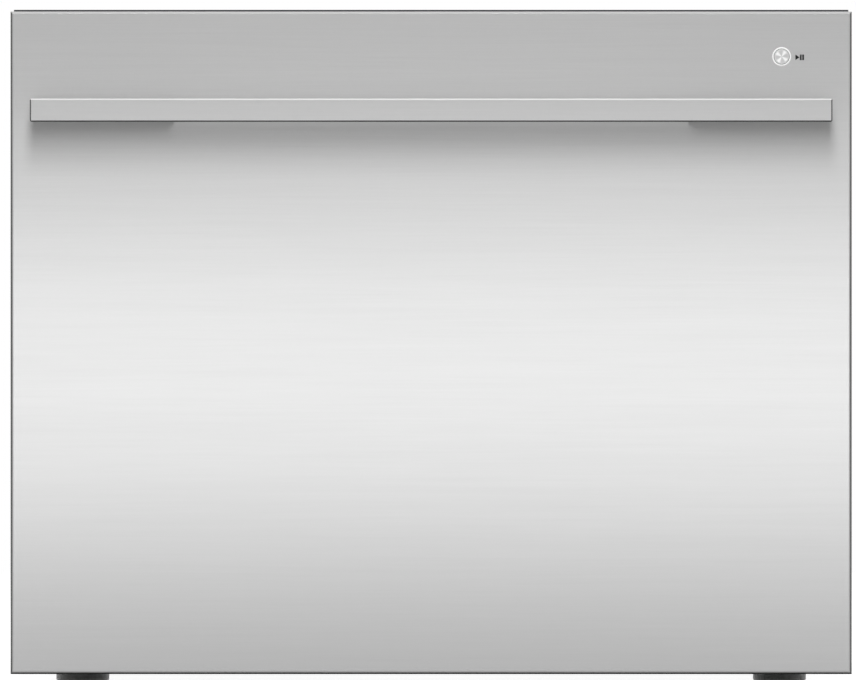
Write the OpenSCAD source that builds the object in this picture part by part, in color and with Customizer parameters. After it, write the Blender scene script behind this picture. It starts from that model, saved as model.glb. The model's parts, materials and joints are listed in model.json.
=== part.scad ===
// Single dishwasher drawer: a wash tub on telescopic runners in a sheet steel chassis.
// Units are millimetres. +Z is up, the front faces -Y and the origin is on the floor,
// under the middle of the whole appliance.

/* [Overall] */
// Width of the drawer front, the widest piece
overall_w = 599; // [597:1:605]
// Height of the chassis with its feet wound in
overall_h = 480; // [478:1:486]
// Depth from the face of the drawer front to the back of the chassis
body_d = 573; // [570:1:590]

/* [Drawer front] */
// Height of the drawer front's bottom edge above the floor
panel_bottom_z = 6.5; // [6:0.5:14]
// Thickness of the drawer front
panel_t = 20; // [18:1:24]
// How far the front stops short of the chassis top
panel_drop = 0.5; // [0.5:0.5:2]
// Thickness of the stainless skin
skin_t = 1; // [0.8:0.1:1.2]
// Fold radius along the edges of the skin
skin_r = 2.4; // [2:0.2:3]
// Width of the skin's returns at the sides and the bottom
skin_return = 18; // [14:1:19]
// Height of the dark trim lip that shows above the skin
lip_h = 1.2; // [0.8:0.1:1.6]

/* [Handle] */
// From the side of the drawer front to the end of the handle bar
handle_inset = 15; // [12:0.5:20]
// Height of the handle bar
handle_h = 16.4; // [14:0.2:20]
// Thickness of the handle bar
handle_t = 10; // [8:0.5:14]
// How far the bar's face stands off the drawer front
handle_stand = 38; // [32:1:46]
// From the top of the drawer front down to the bar
handle_drop = 64; // [60:1:70]
// Length of each block that carries the bar
grip_block_l = 100; // [60:1:120]
// From the end of the bar to its block
grip_block_inset = 1.5; // [0.5:0.5:6]
// Chamfer along the edges of the bar
handle_chamfer = 0.9; // [0.5:0.1:1.4]

/* [Start button] */
// From the button's centre to the right side of the drawer front
button_inset = 50; // [44:0.5:60]
// Button centre below the top of the drawer front
button_drop = 33.4; // [30:0.2:38]
// Radius of the button cap
button_r = 5.2; // [4.5:0.1:6]
// Radius of the ring round the button
bezel_r = 6.75; // [6.6:0.05:8]
// How far the button travels
button_travel = 1.2; // [0.8:0.1:1.6]

/* [Chassis] */
// How far the drawer front reaches past the chassis at each side
front_overlap = 2; // [1:0.5:3]
// Thickness of the chassis sheet
sheet = 1; // [0.8:0.1:1.2]
// Gap between the drawer front and the chassis
panel_gap = 3; // [2.6:0.1:5]
// Width of the hem that stiffens the chassis's front edge
front_hem = 4; // [3:0.5:4.5]
// Height of the base tray above the floor
base_z = 20; // [20:1:24]
// Height of the base tray's upturned walls
tray_wall_h = 25; // [20:1:30]
// Depth of the recess behind the service plate
service_depth = 45; // [40:1:50]
// Height of the service plate
service_h = 88; // [80:1:92]

/* [Feet] */
// Radius of the foot pads
foot_r = 19; // [15:0.5:24]
// Radius of the foot's threaded stud
stud_r = 5; // [4:0.5:6]
// How far each foot winds out
foot_travel = 20; // [10:1:22]
// Foot centres from the sides of the chassis
foot_side = 47.5; // [36:0.5:66]
// Foot centres from the front and back edges of the chassis
foot_inset = 52; // [46:1:80]

/* [Tub] */
// Space above the tub's rim for the lid and its drive
over_tub = 56; // [54:1:60]
// Space under the tub for the motor and sump
under_tub = 74; // [72:1:80]
// Space beside the tub's wall at its top, to the side of the chassis
beside_tub = 18.5; // [17:0.5:21]
// How far each side of the tub leans out from floor to rim
tub_lean = 9; // [6:0.5:12]
// Space behind the tub for the hose link
behind_tub = 73.5; // [72:0.5:80]
// Space in front of the tub for the controls and the dispenser
front_space = 41.5; // [40:0.5:46]
// Wall thickness of the tub
tub_wall = 3; // [2.5:0.1:4]
// Floor thickness of the tub
tub_floor = 4; // [3:0.1:5]
// Corner radius of the tub
tub_corner = 45; // [30:1:60]
// Width of the rim outside the tub's wall at the top
rim_out = 11; // [9:0.5:12]
// Thickness of the rim
rim_t = 4; // [3:0.5:5]
// Height of the skirt under the rim's edge
rim_skirt = 12; // [8:1:16]
// Height of the ledges that carry the basket, above the tub floor
ledge_h = 38; // [36:1:44]
// Radius of the sump
sump_r = 97; // [90:1:104]
// Depth of the sump below the tub floor
sump_d = 32; // [28:1:32]

/* [Runners] */
// From the runners' back ends to the back of the chassis
behind_runner = 46; // [44:1:60]
// Height of the runners' centre line above the floor
runner_z = 150; // [140:1:170]
// Height of the outer channel
runner_h = 46; // [42:1:52]
// Thickness of a closed runner
runner_t = 14; // [13:0.5:15]
// Thickness of the runner steel
runner_sheet = 1.4; // [1.2:0.1:1.6]

/* [Lid] */
// How far the lid drops on to the tub
lid_travel = 10; // [8:0.5:11]
// Gap left between the lowered seal and the rim
seal_gap = 0.3; // [0.25:0.05:0.6]
// Height of the seal below the lid plate
seal_h = 9; // [8:0.5:10]
// Thickness of the lid plate
lid_t = 4; // [3:0.5:5]
// Height of the lid's ribs
lid_rib_h = 8; // [5:0.5:8]
// Pitch radius of the lid drive pinion
pinion_r = 7; // [7:1:7]

/* [Wash system] */
// Length of a spray arm blade from its centre
spray_r = 192; // [150:1:200]
// Thickness of the spray arm blades
spray_t = 12; // [10:0.5:14]
// Radius of the spray arm's spindle
spindle_r = 12; // [10:0.5:14]
// Running clearance of spindles and pins
fit_gap = 0.06; // [0.04:0.01:0.09]
// Radius of the wash pump housing
pump_r = 58; // [54:1:64]
// Radius of the drain filter cup
filter_r = 40; // [34:1:42]
// Filter centre to the right of the tub's middle
filter_x = 140; // [138:1:146]
// Filter centre in front of the tub's middle
filter_y = 96; // [90:1:110]

/* [Racks] */
// Radius of the basket's floor wires
wire_r = 1.8; // [1.6:0.1:2.2]
// Radius of the basket's rim wires
rim_wire_r = 2.5; // [2.2:0.1:3]
// Space between the basket and the tub's side wall, at the tub's floor
basket_side_gap = 15; // [13:0.5:18]
// Space between the basket and the tub's front and back walls
basket_end_gap = 21; // [17:0.5:26]
// Height of the basket's rim above its floor
basket_h = 120; // [110:1:130]
// Height of the tines
tine_h = 92; // [70:1:96]
// Distance between tines
tine_pitch = 30; // [26:1:34]
// Number of tines in a row
tine_count = 10; // [6:1:10]
// Width of a cup rack
cup_rack_w = 88; // [70:1:96]
// Length of a cup rack
cup_rack_l = 320; // [260:1:340]
// Length of the cutlery basket
cutlery_l = 220; // [180:1:236]
// Width of the cutlery basket
cutlery_w = 66; // [56:1:70]
// Height of the cutlery basket
cutlery_h = 100; // [80:1:120]

/* [Hose link] */
// Distance between the pivots of each link arm
link_l = 420; // [410:1:430]
// Height of each link arm
link_h = 18; // [14:1:20]
// Half the width of a link arm
link_r = 12; // [11:0.5:14]

/* [Hidden] */
$fn = 48;

// Small overlap that keeps a cutter clear of the face that it cuts
cut = 1;
// Gap between pieces that lie beside each other on one body
seat_gap = 0.2;
weld = 0.3;

// Places along Y, from the handle's face to the chassis's back
face_y = -(body_d + handle_stand) / 2 + handle_stand;
back_y = face_y + body_d;
panel_back_y = face_y + panel_t;
chassis_front_y = panel_back_y + panel_gap;
chassis_d = back_y - chassis_front_y;
tub_d = body_d - panel_t - front_space - behind_tub;
tub_front_y = panel_back_y + front_space;
tub_back_y = tub_front_y + tub_d;
tub_mid_y = (tub_front_y + tub_back_y) / 2;
service_y = back_y - service_depth;

// Places along X
chassis_w = overall_w - 2 * front_overlap;
side_x = chassis_w / 2;
wall_x = side_x - sheet;
foot_x = side_x - foot_side;
button_x = overall_w / 2 - button_inset;
handle_l = overall_w - 2 * handle_inset;
tub_top_w = chassis_w - 2 * beside_tub;
tub_bottom_w = tub_top_w - 2 * tub_lean;
rail_x = wall_x - runner_t;
rim_w = tub_top_w + 2 * rim_out;
rim_d = tub_d + 2 * rim_out;

// Heights
panel_top_z = overall_h - panel_drop;
panel_h = panel_top_z - panel_bottom_z;
skin_top_z = panel_top_z - lip_h;
tub_z = base_z + under_tub;
tub_h = overall_h - tub_z - over_tub;
floor_z = tub_z + tub_floor;
rim_z = tub_z + tub_h;
sump_z = tub_z - sump_d;
handle_top_z = panel_top_z - handle_drop;
handle_mid_z = handle_top_z - handle_h / 2;
button_z = panel_top_z - button_drop;
seal_z = rim_z + seal_gap + lid_travel;
lid_z = seal_z + seal_h;
top_sheet_z = overall_h - sheet;

// Control strip on the top of the drawer front
control_d = 46;
control_back_y = face_y + skin_t + control_d;
control_top_z = overall_h - 6;
control_half_w = wall_x - 10.5;
control_wall = 2.5;
key_r = 6.5;
key_y = (panel_back_y + control_back_y) / 2 - 8;
key_xs = [-150, -120, -90, 120];
key_travel = 0.8;
window_x = -10;
window_l = 120;
window_w = 20;
board_z = control_top_z - 13;
board_post_xs = [-178, 70, 178];

// Tub width at a height, because the side walls lean out
function tub_w_at(z) = tub_bottom_w + (tub_top_w - tub_bottom_w) * (z - tub_z) / tub_h;

// ---------------------------------------------------------------- helpers

// Rounded rectangle about its centre
module rounded(w, d, r) {
    offset(r = r) square([w - 2 * r, d - 2 * r], center = true);
}

// A profile drawn as [y, z] and carried along X
module along_x(x, len) {
    translate([x, 0, 0]) rotate([90, 0, 90]) linear_extrude(len) children();
}

// A profile drawn as [x, z] and carried along Y
module along_y(y, len) {
    translate([0, y + len, 0]) rotate([90, 0, 0]) linear_extrude(len) children();
}

module box(lo, hi) {
    translate(lo) cube(hi - lo);
}

// A rectangle between two corners
module area(lo, hi) {
    translate(lo) square(hi - lo);
}

module both_sides() {
    children();
    mirror([1, 0, 0]) children();
}

// Round bars along each axis, from a start point
module bar_x(p, len, r) {
    translate(p) rotate([0, 90, 0]) cylinder(r = r, h = len);
}

module bar_y(p, len, r) {
    translate(p) rotate([-90, 0, 0]) cylinder(r = r, h = len);
}

module bar_z(p, len, r) {
    translate(p) cylinder(r = r, h = len);
}

// A wire pin with a worn-round tip
module pin(h, r) {
    rotate_extrude() polygon([[0, 0], [r, 0], [r, h - r], [0.75 * r, h - 0.35 * r], [0.3 * r, h], [0, h]]);
}

// ---------------------------------------------------------------- chassis

wrap_h = top_sheet_z - base_z;
wrap_r = 3;
side_hole_r = 2.75;
side_hole_inset = 22;
side_hole_zs = [base_z + 75, overall_h - 75];
tray_wall_z = base_z + tray_wall_h;
screw_r = 1.7;
screw_hole_r = 1.8;
chassis_screw_ys = [-190, 20, 230];
top_flange_h = 12;
tray_screw_z = base_z + 13;
top_screw_z = top_sheet_z - 7;
service_half_w = wall_x - 41.5;
press_margin = 85;

module wrap_profile() {
    translate([0, (chassis_front_y + back_y) / 2]) difference() {
        rounded(chassis_w, chassis_d, wrap_r);
        rounded(chassis_w - 2 * sheet, chassis_d - 2 * sheet, wrap_r - sheet);
        translate([0, -chassis_d / 2]) square([chassis_w - 2 * sheet - 2 * front_hem, 4 * wrap_r], center = true);
    }
}

// A long pressed bead that stiffens a side wall, drawn on the right side
module side_bead(z) {
    bead_d = 2.4;
    bead_w = 22;
    difference() {
        along_y_bead(wall_x - bead_d, bead_d + sheet / 2, z, bead_w);
        along_y_bead(wall_x - bead_d + sheet, bead_d + sheet, z, bead_w - 2 * sheet);
    }
}

module along_y_bead(x, depth, z, w) {
    bead_l = chassis_d - 2 * press_margin;
    translate([x, (chassis_front_y + back_y) / 2 + 10, z]) rotate([90, 0, 90])
        linear_extrude(depth) rounded(bead_l, w, w / 2 - 0.5);
}

module side_bead_recess(z) {
    along_y_bead(wall_x - 0.01, 2 * sheet, z, 20);
}

bead_pitch = 70;
bead_zs = [for (i = [0:2]) runner_z + 80 + i * bead_pitch];

module chassis_wrap() {
    color("silver") {
        difference() {
            translate([0, 0, base_z]) linear_extrude(wrap_h) wrap_profile();
            // window in the back that leaves the service plate open
            box([-service_half_w, back_y - 2 * sheet, base_z - cut],
                [service_half_w, back_y + cut, base_z + service_h + 4]);
            for (z = bead_zs) both_sides() side_bead_recess(z);
            for (z = side_hole_zs) both_sides()
                bar_x([side_x - 4, chassis_front_y + side_hole_inset, z], 6, side_hole_r);
            for (y = chassis_screw_ys, z = [tray_screw_z, top_screw_z]) both_sides()
                bar_x([side_x - 4, y, z], 6, screw_hole_r);
            // cooling slots in the back
            for (x = [-120:12:120]) translate([x, back_y, top_sheet_z - 79])
                cube([4, 6 * sheet, 40], center = true);
        }
        for (z = bead_zs) both_sides() side_bead(z);
    }
}

module chassis_top() {
    recess_w = chassis_w - 2 * press_margin + 15;
    recess_d = chassis_d - 2 * press_margin;
    recess_h = 1.5;
    mid_y = (chassis_front_y + back_y) / 2;
    flange_x = wall_x - seat_gap;
    color("silver") difference() {
        union() {
            translate([0, mid_y, top_sheet_z]) linear_extrude(sheet) rounded(chassis_w, chassis_d, wrap_r);
            translate([0, mid_y, top_sheet_z - recess_h]) linear_extrude(recess_h) rounded(recess_w, recess_d, 30);
            both_sides() box([flange_x - sheet, chassis_front_y + 20, top_sheet_z - top_flange_h],
                [flange_x, back_y - 20, top_sheet_z + sheet / 2]);
            // hem under the front edge
            box([-wall_x + 8, chassis_front_y, top_sheet_z - sheet], [wall_x - 8, chassis_front_y + 12, top_sheet_z]);
        }
        translate([0, mid_y, overall_h - recess_h]) linear_extrude(sheet + recess_h)
            rounded(recess_w - 2 * sheet, recess_d - 2 * sheet, 30 - sheet);
        for (y = chassis_screw_ys) both_sides() bar_x([flange_x - 3, y, top_screw_z], 6, screw_r - 0.2);
    }
}

foot_ys = [chassis_front_y + foot_inset, back_y - foot_inset - 25];
boss_r = stud_r + 7;
boss_h = foot_travel + 10;
tray_gap = 0.3;

// Sheet pan with pressed ribs, foot bosses and the upstand that carries the rear connections
module base_tray() {
    half_w = wall_x - tray_gap;
    front = chassis_front_y + 2 * sheet;
    rib_h = 6;
    color("gainsboro") difference() {
        union() {
            box([-half_w, front, base_z], [half_w, back_y - 2 * sheet, base_z + sheet]);
            both_sides() box([half_w - sheet, front, base_z], [half_w, back_y - 2 * sheet, tray_wall_z]);
            box([-half_w, front, base_z], [half_w, front + sheet, base_z + rib_h]);
            box([-service_half_w, service_y - sheet, base_z], [service_half_w, service_y, base_z + service_h]);
            // cheeks that close the recess at its ends
            both_sides() box([service_half_w - sheet, service_y - sheet, base_z],
                [service_half_w, back_y - 2 * sheet, base_z + service_h]);
            box([-service_half_w, service_y - sheet, base_z + service_h - sheet],
                [service_half_w, back_y - 2 * sheet, base_z + service_h]);
            for (x = [-foot_x, foot_x], y = foot_ys) bar_z([x, y, base_z], boss_h, boss_r);
            for (x = [-160, -100, 100, 160]) translate([x, (front + service_y) / 2, base_z])
                linear_extrude(rib_h) rounded(14, service_y - front - 90, 6);
        }
        for (x = [-160, -100, 100, 160]) translate([x, (front + service_y) / 2, base_z - cut])
            linear_extrude(rib_h - sheet + cut) rounded(14 - 2 * sheet, service_y - front - 90 - 2 * sheet, 5);
        for (x = [-foot_x, foot_x], y = foot_ys)
            bar_z([x, y, base_z - cut], boss_h + 2 * cut, stud_r + fit_gap);
        for (y = chassis_screw_ys) both_sides() bar_x([half_w - 3, y, tray_screw_z], 6, screw_r - 0.2);
        // openings for the rear connections
        bar_y([valve_x, service_y - 5, valve_z], 10, valve_r + seat_gap);
        bar_y([outlet_x, service_y - 5, valve_z], 10, outlet_r + seat_gap);
        box([socket_x - socket_w / 2 - seat_gap, service_y - 5, valve_z - socket_h / 2 - seat_gap],
            [socket_x + socket_w / 2 + seat_gap, service_y + 5, valve_z + socket_h / 2 + seat_gap]);
    }
}

// Threaded stud with a hexagon and a wide pad, wound up into its boss
module foot(x, y) {
    pad_h = 5;
    hex_h = 5;
    skirt_h = 4;
    color("dimgray") translate([x, y, 0]) {
        rotate_extrude() polygon([[0, 0], [foot_r - 1, 0], [foot_r, 1], [foot_r, pad_h],
            [stud_r + 5, pad_h + skirt_h], [0, pad_h + skirt_h]]);
        translate([0, 0, pad_h + skirt_h - 0.5]) cylinder(r = stud_r + 4, h = hex_h + 0.5, $fn = 6);
        cylinder(r = stud_r, h = base_z + boss_h);
    }
}

// Rubber strips on the chassis's front edges
module side_trims() {
    trim_t = panel_gap - 0.5;
    trim_w = front_hem + 1;
    color("black") both_sides() translate([0, 0, base_z + 6])
        linear_extrude(wrap_h - 14)
            polygon([[side_x - 1, chassis_front_y], [side_x - 1, chassis_front_y - 0.6 * trim_t],
                [side_x - 2, chassis_front_y - trim_t], [side_x - trim_w, chassis_front_y - trim_t],
                [side_x - trim_w + 0.8, chassis_front_y]]);
}

module chassis_screws() {
    head_r = 3.6;
    head_h = 1.4;
    shank = 5;
    color("gray") for (y = chassis_screw_ys, z = [tray_screw_z, top_screw_z]) both_sides() {
        bar_x([side_x - shank, y, z], shank, screw_r - 0.25);
        translate([side_x, y, z]) rotate([0, 90, 0]) cylinder(r1 = head_r, r2 = head_r - 1, h = head_h);
    }
}

// ---------------------------------------------------------------- rear connections

valve_x = -150;
valve_z = base_z + 48;
valve_r = 13.2;
valve_thread_l = 14;
outlet_x = -70;
outlet_r = 9.5;
socket_x = 150;
socket_w = 28;
socket_h = 20;

// Solenoid water valve: a 3/4 inch threaded inlet outside the plate, body and coil inside it
module inlet_valve() {
    body_depth = 20;
    color("whitesmoke") difference() {
        union() {
            bar_y([valve_x, service_y + 2, valve_z], valve_thread_l + 2, valve_r);
            bar_y([valve_x, service_y - sheet - body_depth, valve_z], body_depth, valve_r + 3);
            bar_y([valve_x, service_y - sheet - 1, valve_z], sheet + 4, valve_r - 0.5);
            bar_z([valve_x, service_y - sheet - body_depth / 2, valve_z - 2], 34, 9);
            bar_x([valve_x - 30, service_y - sheet - body_depth / 2, valve_z], 30, 5);
        }
        bar_y([valve_x, service_y - sheet - 14, valve_z], valve_thread_l + 30, valve_r - 3.5);
        bar_x([valve_x - 30 - cut, service_y - sheet - body_depth / 2, valve_z], 24, 3.5);
    }
}

// Spigot for the drain hose, with barbs cut into its end
module drain_outlet() {
    barb = 1.2;
    inner_l = 16;
    color("dimgray") translate([outlet_x, service_y, valve_z]) rotate([-90, 0, 0]) difference() {
        union() {
            translate([0, 0, -inner_l]) cylinder(r = outlet_r - 0.5, h = inner_l + 4);
            cylinder(r = outlet_r + 4, h = 2.5);
            translate([0, 0, 3.5]) cylinder(r = outlet_r, h = 20.5);
            translate([0, 0, 24]) for (i = [0:2])
                translate([0, 0, 4 * i]) cylinder(r1 = outlet_r - 0.01, r2 = outlet_r - barb, h = 4);
        }
        translate([0, 0, -inner_l - cut]) cylinder(r = outlet_r - 2, h = 60);
    }
}

// Appliance inlet for the mains lead: a flange, a socket shell and its three blades
module power_inlet() {
    flange_w = socket_w + 22;
    flange_h = socket_h + 8;
    depth = 22;
    wall = 2;
    color("black") translate([socket_x, service_y, valve_z]) {
        difference() {
            union() {
                along_y(0, 3) rounded(flange_w, flange_h, 4);
                along_y(-depth, depth + 1) rounded(socket_w, socket_h, 3);
            }
            along_y(-depth + wall, depth + 10) rounded(socket_w - 2 * wall, socket_h - 2 * wall, 2);
            for (x = [-20, 20]) bar_y([x, -2, 0], 8, 1.9);
        }
        for (p = [[-7, -2], [0, 2.5], [7, -2]])
            translate([p.x - 1, -depth + wall - 0.5, p.y - 2.5]) cube([2, 16, 5]);
    }
}

// ---------------------------------------------------------------- hose link

link_x = -link_l / 2;
link_y = tub_back_y + rim_out + 30;
link_z = base_z + service_h + 12;
link_pin_r = 5;
link_bracket_t = 3.6;
link_clear = 0.4;

module link_outline(r) {
    hull() {
        circle(r);
        translate([link_l, 0]) circle(r);
    }
}

// Trough moulding that carries the hoses, open upwards, with bosses at both ends
module link_trough(h) {
    wall = 2;
    difference() {
        linear_extrude(h) link_outline(link_r);
        translate([0, 0, wall]) linear_extrude(h) difference() {
            link_outline(link_r - wall);
            circle(link_pin_r + 3.5);
            translate([link_l, 0]) circle(link_pin_r + 3.5);
            // cross ribs
            for (x = [60:60:link_l - 60]) translate([x, 0]) square([2, 3 * link_r], center = true);
        }
    }
}

// Fixed bracket on the chassis back, with the pin for the first arm
module link_bracket_chassis() {
    plate_z = link_z - link_bracket_t - link_clear;
    color("silver") {
        box([link_x - 26, link_y - link_r, plate_z], [link_x + 26, back_y - sheet, plate_z + link_bracket_t]);
        box([link_x - 26, back_y - sheet - 2.5, plate_z], [link_x + 26, back_y - sheet, plate_z + 34]);
        bar_z([link_x, link_y, plate_z], link_bracket_t + link_clear + link_h, link_pin_r);
    }
}

// First arm: turns on the chassis pin and carries the elbow pin
module link_arm_chassis() {
    color("slategray") translate([link_x, link_y, link_z]) difference() {
        union() {
            link_trough(link_h);
            bar_z([link_l, 0, 0], 2 * link_h + link_clear, link_pin_r);
        }
        bar_z([0, 0, -cut], link_h + 2 * cut, link_pin_r + fit_gap);
    }
}

// Second arm: turns on the elbow pin and ends under the drawer's bracket
module link_arm_drawer() {
    color("lightslategray") translate([link_x, link_y, link_z + link_h + link_clear]) difference() {
        link_trough(link_h);
        bar_z([link_l, 0, -cut], link_h + 2 * cut, link_pin_r + fit_gap);
    }
}

// ---------------------------------------------------------------- runners

mid_half_h = runner_h / 2 - 4.2;
inner_half_h = mid_half_h - 4.2;
mid_in = 4.6;
mid_out = runner_t - 2;
inner_in = 7.2;
runner_gap = 0.2;
runner_y = chassis_front_y + 4;
runner_l = back_y - behind_runner - runner_y;

// A channel section: from depth a to depth b off the chassis wall, web at one of them
module channel(a, b, half_h, web_at_a) {
    difference() {
        area([a, -half_h], [b, half_h]);
        area([web_at_a ? a + runner_sheet : a - cut, -half_h + runner_sheet],
            [web_at_a ? b + cut : b - runner_sheet, half_h - runner_sheet]);
    }
}

// Carries a section drawn as [depth off the right wall, height] along the runner
module runner_bar() {
    translate([wall_x, 0, runner_z]) mirror([1, 0, 0]) along_y(runner_y, runner_l) children();
}

module runner_outer() {
    color("gray") both_sides() runner_bar() channel(0, mid_out, runner_h / 2, true);
}

// Middle member with the bearing strips that run against its neighbours
module runner_mid() {
    strip_w = 4;
    top_in = inner_half_h + runner_gap;
    top_out = runner_h / 2 - runner_sheet - runner_gap;
    color("darkgray") runner_bar() {
        channel(mid_in, mid_out, mid_half_h, true);
        for (s = [-1, 1]) {
            area([mid_in + 1, min(s * mid_half_h, s * top_out)],
                [mid_in + 1 + strip_w, max(s * mid_half_h, s * top_out)]);
            area([mid_out - strip_w, min(s * (mid_half_h - runner_sheet), s * top_in)],
                [mid_out - 0.6, max(s * (mid_half_h - runner_sheet), s * top_in)]);
        }
    }
}

module runner_inner() {
    color("gray") both_sides() runner_bar() channel(inner_in, runner_t, inner_half_h, false);
}

// ---------------------------------------------------------------- lid

lid_w = rim_w;
lid_d = rim_d;
lid_r = tub_corner + rim_out;
lid_wall = 2.5;
seal_w = 9;
pinion_n = 14;
pinion_module = 2 * pinion_r / pinion_n;
pinion_w = 7;
rack_w = 8;
rack_y = 40;
rack_back = 5;
rack_z = lid_z + lid_t;
rack_h = top_sheet_z - 4 - rack_z;
pinion_x = wall_x - 21;
pinion_y = rack_y + pinion_r;
pinion_z = rack_z + pinion_r + 2.5;
backlash = 0.16;
spindle_small_r = 3;

// Moulded plate with a rim channel for the seal and a grid of ribs
module lid_plate() {
    skirt_h = seal_h - 5;
    rib_t = 2;
    color("whitesmoke") translate([0, tub_mid_y, 0]) difference() {
        union() {
            translate([0, 0, lid_z]) linear_extrude(lid_t) rounded(lid_w, lid_d, lid_r);
            translate([0, 0, lid_z - skirt_h]) linear_extrude(skirt_h) difference() {
                rounded(lid_w, lid_d, lid_r);
                rounded(lid_w - 2 * lid_wall, lid_d - 2 * lid_wall, lid_r - lid_wall);
            }
            translate([0, 0, lid_z - skirt_h]) linear_extrude(skirt_h) difference() {
                rounded(lid_w - 2 * lid_wall - 2 * seal_w - 1, lid_d - 2 * lid_wall - 2 * seal_w - 1, lid_r - 12);
                rounded(lid_w - 4 * lid_wall - 2 * seal_w - 1, lid_d - 4 * lid_wall - 2 * seal_w - 1, lid_r - 14);
            }
            translate([0, 0, lid_z + lid_t]) linear_extrude(lid_rib_h) {
                for (i = [-4:4]) translate([i * (lid_w - 140) / 8, 0])
                    square([rib_t, lid_d - 70], center = true);
                for (i = [-3:3]) translate([0, i * (lid_d - 100) / 6])
                    square([lid_w - 110, rib_t], center = true);
                difference() {
                    rounded(lid_w - 106, lid_d - 66, 24);
                    rounded(lid_w - 106 - 2 * rib_t, lid_d - 66 - 2 * rib_t, 22);
                }
            }
        }
    }
}

// Hollow rubber seal pressed into the lid's channel, with a lip that meets the rim
module lid_seal() {
    outer_w = lid_w - 2 * lid_wall - 0.4;
    outer_d = lid_d - 2 * lid_wall - 0.4;
    outer_r = lid_r - lid_wall;
    color("dimgray") translate([0, tub_mid_y, 0]) {
        translate([0, 0, seal_z + 3]) linear_extrude(lid_z - seal_z - 3) difference() {
            rounded(outer_w, outer_d, outer_r);
            rounded(outer_w - 2 * seal_w, outer_d - 2 * seal_w, outer_r - seal_w);
        }
        translate([0, 0, seal_z]) linear_extrude(4) difference() {
            rounded(outer_w - 5, outer_d - 5, outer_r - 2.5);
            rounded(outer_w - 11, outer_d - 11, outer_r - 5.5);
        }
    }
}

// Toothed bar that a pinion pulls down, on each side of the lid
module lid_rack() {
    pitch = PI * pinion_module;
    add = 0.8 * pinion_module;
    ded = 1.1 * pinion_module;
    half_tip = pitch / 4 - backlash - add * tan(20);
    half_root = pitch / 4 - backlash + ded * tan(20);
    along_x(pinion_x - rack_w / 2, rack_w) {
        area([rack_y - ded - rack_back, rack_z - 0.01], [rack_y - ded, rack_z + rack_h]);
        for (i = [-3:5]) translate([rack_y, pinion_z + (i + 0.5) * pitch])
            polygon([[-ded - 0.1, -half_root], [add, -half_tip], [add, half_tip], [-ded - 0.1, half_root]]);
    }
    // foot on the lid plate
    box([pinion_x - rack_w / 2 - 2, rack_y - rack_back - 8, rack_z],
        [pinion_x + rack_w / 2 + 2, rack_y - 3, rack_z + 3]);
}

module lid_racks() {
    color("white") both_sides() lid_rack();
}

function involute(base, t) = base * [cos(t) + t * PI / 180 * sin(t), sin(t) - t * PI / 180 * cos(t)];

function turned(p, a) = [p.x * cos(a) - p.y * sin(a), p.x * sin(a) + p.y * cos(a)];

// Involute pinion, 20 degree pressure angle and short teeth, with one tooth centred on -Y
module pinion_profile() {
    base = pinion_r * cos(20);
    tip = pinion_r + 0.8 * pinion_module;
    root = pinion_r - 1.1 * pinion_module;
    t_tip = sqrt(pow(tip / base, 2) - 1) * 180 / PI;
    half = 90 / pinion_n - backlash / pinion_r * 180 / PI + tan(20) * 180 / PI - 20;
    steps = 5;
    flank = [for (i = [0:steps]) involute(base, t_tip * i / steps)];
    circle(root);
    for (k = [0:pinion_n - 1]) rotate(180 + k * 360 / pinion_n) polygon(concat(
        [turned([root - 0.6, 0], -half)],
        [for (p = flank) turned(p, -half)],
        [for (i = [steps:-1:0]) turned([flank[i].x, -flank[i].y], half)],
        [turned([root - 0.6, 0], half)]));
}

module lid_pinion() {
    color("khaki") translate([pinion_x, 0, 0]) {
        translate([0, pinion_y, pinion_z]) {
            translate([-pinion_w / 2, 0, 0]) rotate([90, 0, 90]) linear_extrude(pinion_w) pinion_profile();
            bar_x([-pinion_w / 2 - 4, 0, 0], pinion_w + 8, spindle_small_r);
        }
    }
}

// Gear case on the chassis wall, with the motor behind it
module lid_drive_housing() {
    wall = 2;
    cheek = pinion_w / 2 + 0.6;
    z0 = rack_z + 1;
    z1 = top_sheet_z - 2.5;
    y0 = rack_y - rack_back - 6;
    y1 = pinion_y + pinion_r + 5;
    color("darkslategray") difference() {
        union() {
            box([pinion_x - cheek - 3, pinion_y - 5, z0], [pinion_x - cheek, y1, z1]);
            box([pinion_x + cheek, pinion_y - 5, z0], [wall_x - sheet - seat_gap, y1, z1]);
            box([pinion_x - cheek - 3, y1 - wall, z0], [wall_x - sheet - seat_gap, y1, z1]);
            bar_y([pinion_x + 5, y1 - 0.1, pinion_z + 1], 46, 8);
            bar_y([pinion_x + 5, y1 + 45, pinion_z + 1], 3, 4);
        }
        bar_x([pinion_x - cheek - 4, pinion_y, pinion_z], 2 * cheek + 8, spindle_small_r + fit_gap);
    }
}

module lid_drive_housings() {
    both_sides() lid_drive_housing();
}

// ---------------------------------------------------------------- tub

rib_t = 2.4;
well_r = filter_r + 4;
well_d = 24;
dispenser_x = 0;
dispenser_z = rim_z - 92;
dispenser_w = 140;
dispenser_h = 76;
fin_x = tub_bottom_w / 2 - 34;
fin_bolt_zs = [tub_z + 46, tub_z + 176, rim_z - 29];
shaft_r = 4;
basket_z = floor_z + ledge_h + wire_r;
bracket_z = link_z + 2 * link_h + 2 * link_clear;

// A prism whose two sides lean out, w0 wide at z0 and w1 wide at z1
module leaning(w0, z0, w1, z1) {
    along_y(tub_front_y - rim_out, rim_d) polygon([[-w0 / 2, z0], [w0 / 2, z0], [w1 / 2, z1], [-w1 / 2, z1]]);
}

module tub_solid() {
    intersection() {
        translate([0, tub_mid_y, tub_z]) linear_extrude(tub_h) rounded(tub_top_w, tub_d, tub_corner);
        leaning(tub_bottom_w, tub_z, tub_top_w, rim_z);
    }
}

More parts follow.
